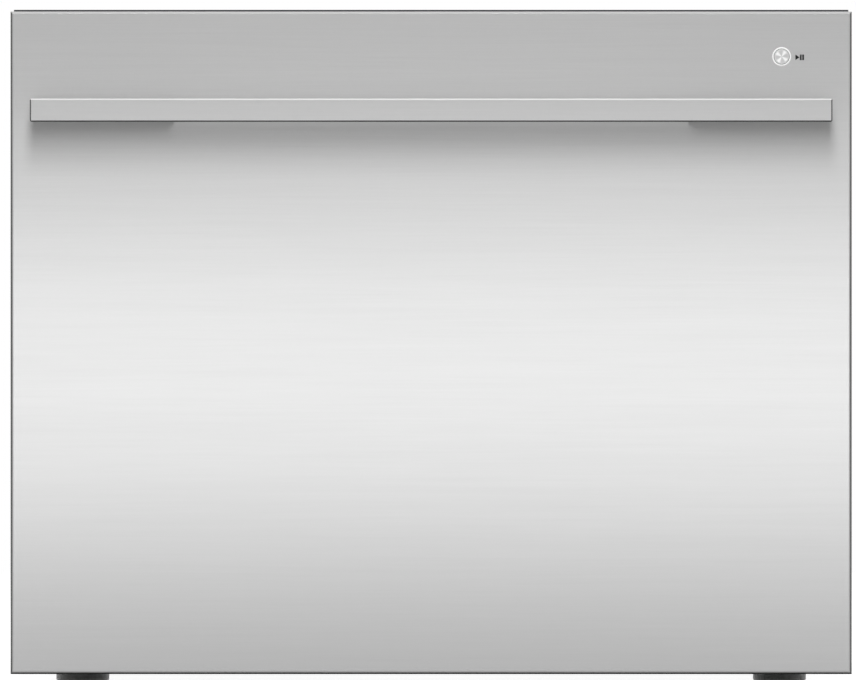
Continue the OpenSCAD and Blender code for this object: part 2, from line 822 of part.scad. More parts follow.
module tub_cavity() {
    in = 2 * tub_wall;
    intersection() {
        translate([0, tub_mid_y, floor_z]) linear_extrude(tub_h)
            rounded(tub_top_w - in, tub_d - in, tub_corner - tub_wall);
        leaning(tub_w_at(floor_z) - in, floor_z, tub_w_at(rim_z + 2) - in, rim_z + 2);
    }
}

// Ribs and brackets on the outside of the tub
module tub_outside() {
    pad_h = 2 * inner_half_h - 4;
    // rim with its skirt
    translate([0, tub_mid_y, rim_z - rim_t]) linear_extrude(rim_t) rounded(rim_w, rim_d, tub_corner + rim_out);
    translate([0, tub_mid_y, rim_z - rim_skirt]) linear_extrude(rim_skirt) difference() {
        rounded(rim_w, rim_d, tub_corner + rim_out);
        rounded(rim_w - 5, rim_d - 5, tub_corner + rim_out - 2.5);
    }
    // deck under the control strip
    box([-control_half_w + 12, panel_back_y, rim_z - rim_t], [control_half_w - 12, tub_mid_y - rim_d / 2 + 20, rim_z]);
    // upright ribs on the front and back
    for (x = [-209:38:209]) {
        if (abs(x) > dispenser_w / 2 + 12)
            box([x - rib_t / 2, tub_front_y - 8, tub_z + 8], [x + rib_t / 2, tub_front_y + 10, rim_z - rim_t / 2]);
        box([x - rib_t / 2, tub_back_y - 10, tub_z + 8], [x + rib_t / 2, tub_back_y + 8, rim_z - rim_t / 2]);
    }
    // level band round the tub
    translate([0, tub_mid_y, tub_z + 190]) linear_extrude(rib_t)
        rounded(tub_w_at(tub_z + 190) + 12, tub_d + 12, tub_corner + 6);
    // fins that carry the drawer front
    both_sides() {
        box([fin_x - rib_t / 2, panel_back_y, tub_z + 20], [fin_x + rib_t / 2, tub_front_y + 30, rim_z - rim_t / 2]);
        for (z = fin_bolt_zs) bar_y([fin_x, panel_back_y, z], front_space + 25, 5.5);
    }
    // hollow rail pads for the runners
    both_sides() {
        for (s = [-1, 1]) box([tub_bottom_w / 2 - 20, tub_front_y + 16, runner_z + s * pad_h / 2 - rib_t / 2],
            [rail_x, tub_back_y - 16, runner_z + s * pad_h / 2 + rib_t / 2]);
        box([rail_x - rib_t, tub_front_y + 16, runner_z - pad_h / 2], [rail_x, tub_back_y - 16, runner_z + pad_h / 2]);
        for (y = [tub_front_y + 17:52:tub_back_y - 16])
            box([tub_bottom_w / 2 - 20, y, runner_z - pad_h / 2], [rail_x, y + rib_t, runner_z + pad_h / 2]);
    }
    // stiffening ribs on the underside, clear of the sump's flange
    translate([0, tub_mid_y, tub_z - 8]) linear_extrude(9) difference() {
        union() {
            difference() {
                circle(rib_ring_r);
                circle(rib_ring_r - rib_t);
            }
            for (a = [0:30:330]) rotate(a) translate([0, -rib_t / 2]) square([rib_ring_r + 50, rib_t]);
        }
        sump_outline(1);
    }
    // bracket at the back for the hose link
    box([link_x - 18, tub_back_y - 10, bracket_z], [link_x + 18, link_y + link_r, bracket_z + 4]);
    for (x = [link_x - 17, link_x + 14]) box([x, tub_back_y - 10, bracket_z], [x + 3, link_y, bracket_z + 22]);
}

module tub() {
    ledge_x = tub_w_at(floor_z + ledge_h) / 2 - 1;
    color("gainsboro") {
        difference() {
            union() {
                tub_solid();
                tub_outside();
            }
            tub_cavity();
            // the sump's two mouths and its screw holes
            bar_z([0, tub_mid_y, tub_z - cut], tub_floor + 2 * cut, sump_r);
            bar_z([filter_x, tub_mid_y - filter_y, tub_z - cut], tub_floor + 2 * cut, well_r);
            for (p = sump_bolts) bar_z([p.x, tub_mid_y + p.y, tub_z - cut], 3 + cut, sump_bolt_r);
            box([dispenser_x - dispenser_w / 2 - seat_gap, tub_front_y - 12, dispenser_z - dispenser_h / 2 - seat_gap],
                [dispenser_x + dispenser_w / 2 + seat_gap, tub_front_y + 12, dispenser_z + dispenser_h / 2 + seat_gap]);
            both_sides() for (z = fin_bolt_zs) bar_y([fin_x, panel_back_y - cut, z], 20 + cut, 2);
            bar_z([link_x, hose_y, bracket_z - cut], 4 + 2 * cut, hose_r + seat_gap);
        }
        // ledges that the basket slides on
        both_sides() box([basket_half_w - 4, tub_mid_y - 170, floor_z + ledge_h - 3],
            [ledge_x, tub_mid_y + 170, floor_z + ledge_h]);
    }
}

// ---------------------------------------------------------------- sump

rib_ring_r = 150;
sump_flange = 15;
sump_flange_t = 3;
sump_bolt_r = 1.6;
sump_pipe_r = 7.5;
sump_mouths = [[0, 0, sump_r], [filter_x, -filter_y, well_r]];
filter_a = atan2(-filter_y, filter_x);
sump_bolts = concat(
    [for (a = [filter_a + 55:50:filter_a + 305]) (sump_r + 9) * [cos(a), sin(a)]],
    [for (a = [-50, 50]) [filter_x, -filter_y] + (well_r + 9) * [cos(filter_a + a), sin(filter_a + a)]]);

// Outline of the sump's flange, wider by an allowance
module sump_outline(more) {
    for (m = sump_mouths) translate([m.x, m.y]) circle(m.z + sump_flange + more);
    rotate(filter_a) translate([0, -well_r + 8 - more])
        square([norm([filter_x, filter_y]), 2 * well_r - 16 + 2 * more]);
}

// Moulding bolted under the tub: pump well, filter well, the drain pipe between them and one flange
module sump() {
    pipe_z = tub_z - sump_flange_t - seat_gap - sump_pipe_r - 1;
    flange_z = tub_z - seat_gap - sump_flange_t;
    span = norm([filter_x, filter_y]);
    color("lightgray") translate([0, tub_mid_y, 0]) difference() {
        union() {
            translate([0, 0, flange_z]) linear_extrude(sump_flange_t) sump_outline(0);
            bar_z([0, 0, sump_z], tub_z - seat_gap - sump_z, sump_r + tub_wall);
            bar_z([filter_x, -filter_y, tub_z - well_d], well_d - seat_gap, well_r + tub_wall);
            rotate(filter_a) bar_x([sump_r, 0, pipe_z], span - sump_r - well_r, sump_pipe_r + 2);
            // gussets under the flange
            for (a = [filter_a + 30:50:filter_a + 330]) rotate(a) translate([sump_r + 1, -1, flange_z - 9])
                cube([sump_flange - 3, 2, 10]);
        }
        bar_z([0, 0, sump_z + tub_floor], sump_d + cut, sump_r);
        bar_z([filter_x, -filter_y, tub_z - well_d + tub_floor], well_d + cut, well_r);
        rotate(filter_a) bar_x([sump_r - 6, 0, pipe_z], span - sump_r - well_r + 12, sump_pipe_r);
        bar_z([0, 0, sump_z - cut], tub_floor + 2 * cut, shaft_r + fit_gap);
        for (a = [45, 135]) bar_z([heater_r * cos(a), heater_r * sin(a), sump_z - cut],
            tub_floor + 2 * cut, heater_wire_r + 0.1);
        for (p = sump_bolts) bar_z([p.x, p.y, flange_z - cut], sump_flange_t + 2 * cut, sump_bolt_r + 0.3);
        // drain connection in the wall
        bar_y([hose_x, sump_r - 8, hose_z], 20, hose_r + 0.1);
    }
}

// ---------------------------------------------------------------- wash system

pump_z = sump_z + tub_floor;
pump_h = 26;
arm_z = floor_z + 10;
spindle_top_z = arm_z + 16;
heater_r = 78;
heater_wire_r = 3.2;
heater_z = pump_z + 14;
hose_x = 0;
hose_r = 8;
hose_z = pump_z + 8;
hose_y = tub_back_y + 18;
hose_bend = 22;
hose_top_z = link_z + 70;
plate_t = 3;
plate_gap = 1;

// Moulded plate over the tub floor with rings of filter slots
module filter_plate() {
    w = tub_w_at(floor_z) - 2 * tub_wall - 2 * plate_gap;
    d = tub_d - 2 * tub_wall - 2 * plate_gap;
    r = tub_corner - tub_wall - plate_gap;
    rings = [[84, 24], [116, 30], [150, 40]];
    color("slategray") translate([0, tub_mid_y, floor_z]) {
        linear_extrude(plate_t) difference() {
            rounded(w, d, r);
            circle(pump_r - 16);
            translate([filter_x, -filter_y]) circle(filter_r + 1);
            for (ring = rings, i = [0:ring[1] - 1]) {
                a = i * 360 / ring[1];
                p = [ring[0] * cos(a), ring[0] * sin(a)];
                if (norm(p - [filter_x, -filter_y]) > filter_r + 20)
                    translate(p) rotate(a) square([22, 3], center = true);
            }
        }
        // raised edge and collar
        linear_extrude(8) difference() {
            rounded(w, d, r);
            rounded(w - 4, d - 4, r - 2);
        }
        linear_extrude(7) difference() {
            circle(pump_r - 14);
            circle(pump_r - 16);
        }
    }
}

// Pump casing in the sump: impeller chamber, suction slots and the hollow spray arm spindle
module pump_housing() {
    chamber_r = pump_r - 8;
    chamber_h = 15;
    top_z = pump_z + pump_h;
    color("lightslategray") translate([0, tub_mid_y, 0]) difference() {
        union() {
            bar_z([0, 0, pump_z], pump_h, pump_r);
            translate([0, 0, top_z]) cylinder(r1 = pump_r - 20, r2 = spindle_r + 4, h = arm_z - top_z - 0.4);
            bar_z([0, 0, top_z - 1], spindle_top_z - top_z + 1, spindle_r);
            for (a = [0:60:300]) rotate(a) translate([pump_r - 2, -2, pump_z]) cube([8, 4, 14]);
        }
        bar_z([0, 0, pump_z + 6], chamber_h, chamber_r);
        bar_z([0, 0, pump_z + 6], spindle_top_z, spindle_r - 3);
        bar_z([0, 0, pump_z - cut], 10, shaft_r + fit_gap);
        for (a = [15:30:345]) rotate(a) translate([chamber_r - 10, -4, pump_z + 8]) cube([30, 8, 9]);
    }
}

function spray_mid(t) = [t * spray_r, 26 * sin(t * 150)];
function spray_half(t) = 25 - 9 * t;

// Two swept blades on a domed hub
module spray_arm() {
    steps = 12;
    hub_r = spindle_r + 14;
    left = [for (i = [0:steps]) spray_mid(i / steps) + [0, spray_half(i / steps)]];
    right = [for (i = [steps:-1:0]) spray_mid(i / steps) - [0, spray_half(i / steps)]];
    tip = [for (a = [75:-15:-75]) spray_mid(1) + spray_half(1) * [0.8 * cos(a), sin(a)]];
    color("lightsteelblue") translate([0, tub_mid_y, arm_z]) difference() {
        union() {
            for (a = [0, 180]) rotate(a) translate([0, 0, 2]) linear_extrude(spray_t)
                polygon(concat(left, tip, right));
            rotate_extrude() polygon([[0, 0], [hub_r, 0], [hub_r, 14], [hub_r - 5, 19], [10, 22], [0, 22]]);
        }
        bar_z([0, 0, -cut], spindle_top_z - arm_z + cut + 0.4, spindle_r + fit_gap);
        // jets
        for (a = [0, 180], t = [0.3, 0.48, 0.66, 0.84, 0.98]) rotate(a)
            translate([spray_mid(t).x, spray_mid(t).y + 5, spray_t - 3]) cylinder(r = 2, h = 10);
    }
}

// Shaft with the wash impeller above and the magnet rotor below
module pump_rotor() {
    vane = [for (t = [0:8]) [14 + 3.6 * t, 1.1 * t + 0.10 * t * t]];
    color("dimgray") translate([0, tub_mid_y, 0]) {
        bar_z([0, 0, rotor_z], pump_z + 18 - rotor_z, shaft_r);
        bar_z([0, 0, rotor_z], 24, rotor_r);
        bar_z([0, 0, pump_z + 8.5], 2, pump_r - 11);
        bar_z([0, 0, pump_z + 8.5], 10, 9 - 1);
        for (a = [0:60:300]) rotate(a) translate([0, 0, pump_z + 10]) linear_extrude(7)
            polygon(concat([for (p = vane) p], [for (i = [8:-1:0]) vane[i] - [0, 2.4]]));
    }
}

rotor_r = 27;
rotor_z = base_z + 12;

// Potted stator round the rotor, hung from the sump on three ears
module motor_stator() {
    outer_r = 50;
    top = sump_z;
    color("darkolivegreen") translate([0, tub_mid_y, 0]) difference() {
        union() {
            bar_z([0, 0, rotor_z - 4], top - rotor_z + 4, outer_r);
            for (a = [30:120:270]) rotate(a) translate([0, -9, top - 6]) cube([outer_r + 16, 18, 6]);
            for (a = [0:20:340]) rotate(a) translate([outer_r - 1, -1.5, rotor_z]) cube([4, 3, 18]);
        }
        bar_z([0, 0, rotor_z - 1], 26, rotor_r + 0.8);
        bar_z([0, 0, rotor_z], 60, shaft_r + 0.5);
        for (a = [30:120:270]) rotate(a) bar_z([outer_r + 9, 0, top - 10], 20, 2.6);
    }
}

// Open ring heater with two tails through the sump floor
module heater_ring() {
    color("silver") translate([0, tub_mid_y, 0]) {
        translate([0, 0, heater_z]) rotate([0, 0, 135]) rotate_extrude(angle = 270)
            translate([heater_r, 0]) circle(heater_wire_r);
        for (a = [45, 135]) translate([heater_r * cos(a), heater_r * sin(a), 0]) {
            bar_z([0, 0, sump_z - 6], heater_z - sump_z + 6, heater_wire_r);
            bar_z([0, 0, heater_z - 5], 10, heater_wire_r + 1.8);
        }
    }
}

// A quarter bend that joins a run along local +X to one along local +Y
module hose_elbow(at, turn) {
    translate(at) rotate(turn) rotate_extrude(angle = 90) translate([hose_bend, 0]) circle(hose_r);
}

// Hose from the sump, up the tub's back and across to the link bracket
module drain_hose() {
    start_y = tub_mid_y + sump_r - 5;
    color("gray") difference() {
        union() {
            bar_y([hose_x, start_y, hose_z], hose_y - hose_bend - start_y, hose_r);
            hose_elbow([hose_x, hose_y - hose_bend, hose_z + hose_bend], [0, 90, 0]);
            bar_z([hose_x, hose_y, hose_z + hose_bend], hose_top_z - hose_z - 2 * hose_bend, hose_r);
            hose_elbow([hose_x - hose_bend, hose_y, hose_top_z - hose_bend], [90, 0, 0]);
            bar_x([link_x + hose_bend, hose_y, hose_top_z], hose_x - link_x - 2 * hose_bend, hose_r);
            hose_elbow([link_x + hose_bend, hose_y, hose_top_z - hose_bend], [90, -90, 0]);
            bar_z([link_x, hose_y, bracket_z], hose_top_z - hose_bend - bracket_z, hose_r);
        }
        bar_y([hose_x, start_y - cut, hose_z], 30, hose_r - 2);
    }
}

// Cup-shaped fine filter with lugs and a bow handle
module drain_filter() {
    cup_z = tub_z - well_d + tub_floor + 0.5;
    top = floor_z + plate_t + 1;
    wall = 1.6;
    color("dimgray") translate([filter_x, tub_mid_y - filter_y, 0]) {
        difference() {
            union() {
                bar_z([0, 0, cup_z], top - cup_z, filter_r - 1);
                bar_z([0, 0, floor_z + plate_t + 0.2], 1.6, filter_r + 3);
            }
            bar_z([0, 0, cup_z + wall], 60, filter_r - 1 - wall);
            for (a = [0:20:340]) rotate(a) translate([filter_r - 8, -2, cup_z + 5]) cube([14, 4, top - cup_z - 11]);
        }
        translate([-filter_r + 2, -3, floor_z - 4]) difference() {
            cube([2 * filter_r - 4, 6, 11]);
            translate([8, -cut, -cut]) cube([2 * filter_r - 20, 8, 8]);
        }
    }
}

// ---------------------------------------------------------------- drawer front

// Rectangle [y, z] with its two front corners rounded
module front_section(y0, y1, z0, z1, r) {
    hull() {
        area([y1 - 0.1, z0], [y1, z1]);
        translate([y0 + r, z0 + r]) circle(r);
        translate([y0 + r, z1 - r]) circle(r);
    }
}

// Rectangle [x, y] with its two front corners rounded
module plan_section(w, y0, y1, r) {
    hull() {
        area([-w / 2, y1 - 0.1], [w / 2, y1]);
        for (x = [-w / 2 + r, w / 2 - r]) translate([x, y0 + r]) circle(r);
    }
}

bolt_xs = [handle_l / 2 - grip_block_inset - grip_block_l + 22, handle_l / 2 - grip_block_inset - 21];
handle_bolt_r = 2.5;

// Folded skin: a face with returns on the sides and the bottom and a short hem on top
module front_skin() {
    y1 = face_y + skin_return;
    color("silver") difference() {
        intersection() {
            along_x(-overall_w / 2, overall_w) front_section(face_y, y1, panel_bottom_z, skin_top_z, skin_r);
            translate([0, 0, panel_bottom_z]) linear_extrude(panel_h) plan_section(overall_w, face_y, y1, skin_r);
        }
        intersection() {
            along_x(-overall_w / 2, overall_w)
                front_section(face_y + skin_t, y1 + cut, panel_bottom_z + skin_t, skin_top_z - skin_t, skin_r - skin_t);
            translate([0, 0, panel_bottom_z]) linear_extrude(panel_h)
                plan_section(overall_w - 2 * skin_t, face_y + skin_t, y1 + cut, skin_r - skin_t);
        }
        // the top edge is only a hem, so that the control strip can close against it
        box([-overall_w / 2 + skin_t + 1, face_y + 3.4, skin_top_z - skin_t - cut],
            [overall_w / 2 - skin_t - 1, y1 + cut, skin_top_z + cut]);
        bar_y([button_x, face_y - cut, button_z], 2 * cut + skin_t, bezel_r - 0.5);
        both_sides() for (x = bolt_xs) bar_y([x, face_y - cut, handle_mid_z], 2 * cut + skin_t, handle_bolt_r + 0.3);
    }
}

// Moulded frame that fills the skin and bolts to the tub's fins
module panel_frame() {
    half_w = overall_w / 2 - skin_t - seat_gap;
    y0 = face_y + skin_t + seat_gap;
    z0 = panel_bottom_z + skin_t + seat_gap;
    z1 = rim_z - rim_t / 2;
    wall = 2.4;
    color("dimgray") difference() {
        box([-half_w + 1.2, y0, z0 + 1.2], [half_w - 1.2, panel_back_y, z1]);
        // pockets between the ribs
        for (i = [-4:3], j = [0:4]) {
            x = (i + 0.5) * (2 * half_w - 4) / 8;
            z = z0 + 6 + (j + 0.5) * (z1 - z0 - 8) / 5;
            translate([x, y0 - cut, z]) along_y(0, panel_t - skin_t - wall + cut)
                rounded((2 * half_w - 4) / 8 - wall, (z1 - z0 - 8) / 5 - wall, 4, $fn = 16);
        }
        both_sides() for (z = fin_bolt_zs) bar_y([fin_x, y0 - cut, z], panel_t + 2 * cut, 2.1);
        both_sides() for (x = bolt_xs) bar_y([x, y0 - cut, handle_mid_z], panel_t - 4, 6);
    }
}

// Chamfered rectangle about its centre
module chamfered(w, h, c) {
    polygon([[-w / 2 + c, -h / 2], [w / 2 - c, -h / 2], [w / 2, -h / 2 + c], [w / 2, h / 2 - c],
        [w / 2 - c, h / 2], [-w / 2 + c, h / 2], [-w / 2, h / 2 - c], [-w / 2, -h / 2 + c]]);
}

handle_front_y = face_y - handle_stand;

module handle_bar() {
    color("silver") intersection() {
        along_x(-handle_l / 2, handle_l) translate([handle_front_y + handle_t / 2, handle_mid_z])
            chamfered(handle_t, handle_h, handle_chamfer);
        translate([0, handle_front_y + handle_t / 2, handle_mid_z - handle_h]) linear_extrude(2 * handle_h)
            chamfered(handle_l, handle_t, handle_chamfer);
        along_y(handle_front_y, handle_t) translate([0, handle_mid_z])
            chamfered(handle_l, handle_h, handle_chamfer);
    }
}

// Solid blocks between the bar and the drawer front, hollowed round at the finger gap
module handle_blocks() {
    x1 = handle_l / 2 - grip_block_inset;
    x0 = x1 - grip_block_l;
    y0 = handle_front_y + handle_t;
    scoop = (face_y - y0) / 2;
    color("silver") both_sides() difference() {
        box([x0, y0, handle_mid_z - handle_h / 2 + 0.6], [x1, face_y, handle_mid_z + handle_h / 2 - 1]);
        translate([x0 - 4, (y0 + face_y) / 2, handle_mid_z - handle_h]) cylinder(r = scoop - 2, h = 2 * handle_h);
        for (x = bolt_xs) bar_y([x, face_y - 16, handle_mid_z], 17, handle_bolt_r + 0.1);
    }
}

module button_bezel() {
    color("white") difference() {
        union() {
            bar_y([button_x, face_y - 0.6, button_z], 0.6, bezel_r);
            bar_y([button_x, face_y - 0.1, button_z], 4, bezel_r - 0.6);
        }
        bar_y([button_x, face_y - 2, button_z], 8, button_r + 0.1);
    }
}

button_stem_r = 2.4;
switch_y = face_y + 14;

// Domed cap on a stem that presses the switch
module start_button() {
    stem_l = switch_y - face_y + 0.9 - button_travel - 0.25;
    color("gainsboro") translate([button_x, face_y - 0.9, button_z]) rotate([-90, 0, 0]) rotate_extrude()
        polygon([[0, 0], [button_r - 1.6, 0.1], [button_r - 0.4, 0.5], [button_r, 1], [button_r, 6.5],
            [button_stem_r, 6.5], [button_stem_r, stem_l], [0, stem_l]]);
}

// Black moulding along the top of the front, holding the keys, the window and the board
module control_housing() {
    y0 = face_y + skin_t + seat_gap;
    color("black") {
        difference() {
            union() {
                box([-control_half_w, y0, rim_z + seat_gap], [control_half_w, control_back_y, control_top_z]);
                // lip that shows as a dark line above the skin
                box([-overall_w / 2 + skin_t + 1.4, face_y + 3.8, control_top_z - 14],
                    [overall_w / 2 - skin_t - 1.4, face_y + 6.2, panel_top_z]);
            }
            // hollow, closed by the top and open below
            box([-control_half_w + control_wall, y0 + control_wall, rim_z - cut],
                [control_half_w - control_wall, control_back_y - control_wall, control_top_z - control_wall]);
            bar_y([button_x, y0 - cut, button_z], control_wall + 2 * cut, bezel_r - 0.3);
            for (x = key_xs) bar_z([x, key_y, control_top_z - 2 * control_wall], 3 * control_wall, key_r + 0.1);
            translate([window_x, key_y, control_top_z - 1.2]) linear_extrude(3)
                rounded(window_l + 0.4, window_w + 0.4, 3);
            translate([window_x, key_y, control_top_z - 5]) linear_extrude(8)
                rounded(window_l - 8, window_w - 6, 2);
            // relief over the skin's hem
            box([-overall_w, face_y, skin_top_z - skin_t - 0.6], [overall_w, face_y + 3.6, panel_top_z + cut]);
        }
        // posts for the board and ribs across the hollow
        for (x = board_post_xs) bar_z([x, key_y, board_z + 1.6], control_top_z - control_wall - board_z - 1.6 + 0.5, 3);
        for (x = [-control_half_w + 31, -control_half_w + 71, control_half_w - 11])
            box([x - 1, y0 + 1, rim_z + 10], [x + 1, control_back_y - 1, control_top_z - 1]);
    }
}

module display_window() {
    color("darkslategray") translate([window_x, key_y, control_top_z - 1.2]) linear_extrude(1.2)
        rounded(window_l, window_w, 2.8);
}

// Circuit board under the strip, with a bar of switches
module control_board() {
    color("darkgreen") {
        box([-190, key_y - 15, board_z], [190, key_y + 15, board_z + 1.6]);
        for (x = key_xs) box([x - 3, key_y - 3, board_z + 1.5], [x + 3, key_y + 3, board_z + 5]);
        box([-60, key_y - 10, board_z + 1.5], [40, key_y + 8, board_z + 6]);
        box([button_x - 6, switch_y, button_z - 6], [button_x + 6, switch_y + 8, button_z + 6]);
        box([button_x - 20, switch_y + 6, button_z - 8], [button_x + 12, switch_y + 7.6, board_z + 1.6]);
        box([186, switch_y + 6, board_z], [button_x - 16, switch_y + 7.6, board_z + 1.6]);
    }
}

// Round key with a skirt below the strip that keeps it in
module key(i) {
    color("gray") translate([key_xs[i], key_y, 0]) {
        bar_z([0, 0, control_top_z - control_wall - 2.4], control_wall + 3.2, key_r);
        bar_z([0, 0, control_top_z - control_wall - 2.4], 2.2, key_r + 1.2);
        stem_z = board_z + 5 + key_travel + 0.2;
        bar_z([0, 0, stem_z], control_top_z - control_wall - 2 - stem_z, 2);
    }
}

// ---------------------------------------------------------------- dispenser

flange_t = 3.5;
cup_x = 5;
cup_w = 50;
cup_h = 46;
slide_w = 56;
slide_h = 54;
slide_t = 2.6;
slide_travel = 54;
cap_x = 60;
cap_r = 15;
inner_front_y = tub_front_y + tub_wall;

// Moulded body let into the tub's front wall, with the detergent cup and the rinse tank
module dispenser_body() {
    depth = 32;
    y_face = inner_front_y + flange_t;
    z = dispenser_z;
    rail_x0 = cup_x - slide_w / 2 - slide_travel;
    rail_x1 = cup_x + slide_w / 2 + 2;
    color("lightgray") difference() {
        union() {
            translate([dispenser_x, 0, z]) along_y(inner_front_y, flange_t)
                rounded(dispenser_w + 30, dispenser_h + 18, 10);
            box([dispenser_x - dispenser_w / 2, tub_front_y - depth, z - dispenser_h / 2],
                [dispenser_x + dispenser_w / 2, inner_front_y + 1, z + dispenser_h / 2]);
            // rails that hold the sliding lid
            for (s = [-1, 1]) translate([0, 0, z + s * (slide_h / 2 + 2)])
                box([rail_x0, y_face - 0.5, -1.8], [rail_x1, y_face + 4.4, 1.8]);
            for (s = [-1, 1]) translate([0, 0, z + s * (slide_h / 2 + 0.4)])
                box([rail_x0, y_face + slide_t + 0.5, -2.2], [rail_x1, y_face + 4.4, 2.2]);
        }
        // detergent cup
        translate([cup_x, 0, z]) along_y(tub_front_y - depth + 3, 80) rounded(cup_w, cup_h, 8);
        // rinse tank and its filler neck
        box([cup_x + cup_w / 2 + 3, tub_front_y - depth + 3, z - dispenser_h / 2 + 3],
            [dispenser_x + dispenser_w / 2 - 3, inner_front_y - 3, z + dispenser_h / 2 - 3]);
        bar_y([cap_x, inner_front_y - 10, z], 40, 9);
    }
}

module dispenser_lid() {
    y_face = inner_front_y + flange_t + 0.2;
    color("gray") translate([cup_x, 0, dispenser_z]) {
        along_y(y_face, slide_t) rounded(slide_w, slide_h, 2);
        // finger rib
        for (x = [-18, -13]) box([x - 1, y_face + slide_t - 0.5, -14], [x + 1, y_face + slide_t + 2.2, 14]);
    }
}

module rinse_cap() {
    y_face = inner_front_y + flange_t + 0.2;
    color("royalblue") difference() {
        union() {
            bar_y([cap_x, y_face, dispenser_z], 3, cap_r);
            bar_y([cap_x, y_face - 8, dispenser_z], 9, 9 - fit_gap);
            box([cap_x - 12, y_face + 2, dispenser_z - 2], [cap_x + 12, y_face + 8, dispenser_z + 2]);
        }
    }
}

// ---------------------------------------------------------------- racks

basket_half_w = tub_bottom_w / 2 - tub_wall - basket_side_gap;
basket_l = tub_d - 2 * tub_wall - 2 * basket_end_gap;
basket_y0 = tub_mid_y - basket_l / 2;
basket_y1 = tub_mid_y + basket_l / 2;
basket_top_z = basket_z + basket_h;
post_pitch = 45;
rod_r = 2.2;
rod_z = basket_z + wire_r + seat_gap + rod_r;
tine_r = 1.9;
tine_y0 = basket_y0 + 96;
fixed_rows = [-30, 30];
fold_x = 92;

// Welded mat: wires across over wires along
module basket_floor() {
    across = 9;
    along = 10;
    mat_half_w = basket_half_w - wire_r - seat_gap;
    color("dimgray") {
        for (i = [0:across]) bar_x([-mat_half_w, basket_y0 + 6 + i * (basket_l - 12) / across, basket_z],
            2 * mat_half_w, wire_r);
        for (i = [0:along]) bar_y([(-1 + 2 * i / along) * (basket_half_w - 8), basket_y0 + wire_r + seat_gap,
            basket_z - 2 * wire_r + weld], basket_l - 2 * wire_r - 2 * seat_gap, wire_r);
    }
}

// Flat side ladders: posts inside two rails, drawn as [position along, height]
module ladder_posts(len) {
    n = floor((len - 30) / post_pitch / 2);
    for (i = [-n:n]) children_at(i * post_pitch) children();
}

module children_at(s) {
    translate([s, 0, 0]) children();
}

// One side of the basket, along X, centred, at y = 0 and outside towards -Y
module basket_side(len) {
    rail_zs = [basket_z + 8, basket_z + basket_h / 2];
    ladder_posts(len) bar_z([0, 0, basket_z - wire_r], basket_h + wire_r, wire_r);
    for (z = rail_zs) bar_x([-len / 2 + 4, -2 * wire_r + weld, z], len - 8, wire_r);
    bar_x([-len / 2, 0, basket_top_z], len, rim_wire_r);
}

module basket_walls() {
    color("dimgray") {
        translate([0, basket_y0, 0]) basket_side(2 * basket_half_w - 2 * rim_wire_r - 1);
        translate([0, basket_y1, 0]) mirror([0, 1, 0]) basket_side(2 * basket_half_w - 2 * rim_wire_r - 1);
        both_sides() translate([basket_half_w, tub_mid_y, 0]) rotate([0, 0, 90]) basket_side(basket_l + 2 * rim_wire_r);
    }
}

module tine_row(x, y0) {
    bar_y([x, y0 - 12, rod_z], (tine_count - 1) * tine_pitch + 24, rod_r);
    for (i = [0:tine_count - 1]) translate([x, y0 + i * tine_pitch, rod_z + rod_r + 0.1]) pin(tine_h, tine_r);
}

module fixed_tines() {
    color("dimgray") for (x = fixed_rows) tine_row(x, tine_y0);
}

module folding_tines() {
    color("gray") tine_row(fold_x, tine_y0 + tine_pitch / 2 - 15);
}

clip_gap = 0.08;
clip_l = 12;
rack_t = 4;

// Moulded shelf that hangs from the basket's rim wire on the right and folds up
module cup_rack() {
    y0 = tub_mid_y - cup_rack_l / 2;
    x1 = basket_half_w - rim_wire_r - 4;
    x0 = x1 - cup_rack_w;
    clip_r = rim_wire_r + clip_gap + 2.2;
    bars = 9;
    color("lightgray") difference() {
        union() {
            translate([(x0 + x1) / 2, tub_mid_y, basket_top_z - rack_t / 2]) linear_extrude(rack_t) difference() {
                rounded(cup_rack_w, cup_rack_l, 12);
                for (i = [0:bars - 1]) translate([0, (i - (bars - 1) / 2) * (cup_rack_l - 24) / bars])
                    rounded(cup_rack_w - 18, (cup_rack_l - 24) / bars - 7, 6);
            }
            for (s = [-2.5, 2.5]) translate([basket_half_w, tub_mid_y + s * post_pitch - clip_l / 2, basket_top_z]) {
                bar_y([0, 0, 0], clip_l, clip_r);
                translate([-8, 0, -rack_t / 2]) cube([8, clip_l, rack_t]);
            }
        }
        bar_y([basket_half_w, y0 - cut, basket_top_z], cup_rack_l + 2 * cut, rim_wire_r + clip_gap);
        box([basket_half_w + 1, y0 - cut, basket_top_z - 1.8],
            [basket_half_w + 8, y0 + cup_rack_l + cut, basket_top_z + 1.8]);
    }
}

// A wall panel [along, height] with rows of windows
module lattice(l, h, cols, rows) {
    difference() {
        area([0, 0], [l, h]);
        for (i = [0:cols - 1], j = [0:rows - 1]) {
            w = (l - 8) / cols;
            t = (h - 10) / rows;
            translate([4 + (i + 0.5) * w, 6 + (j + 0.5) * t]) square([w - 3, t - 3], center = true);
        }
    }
}

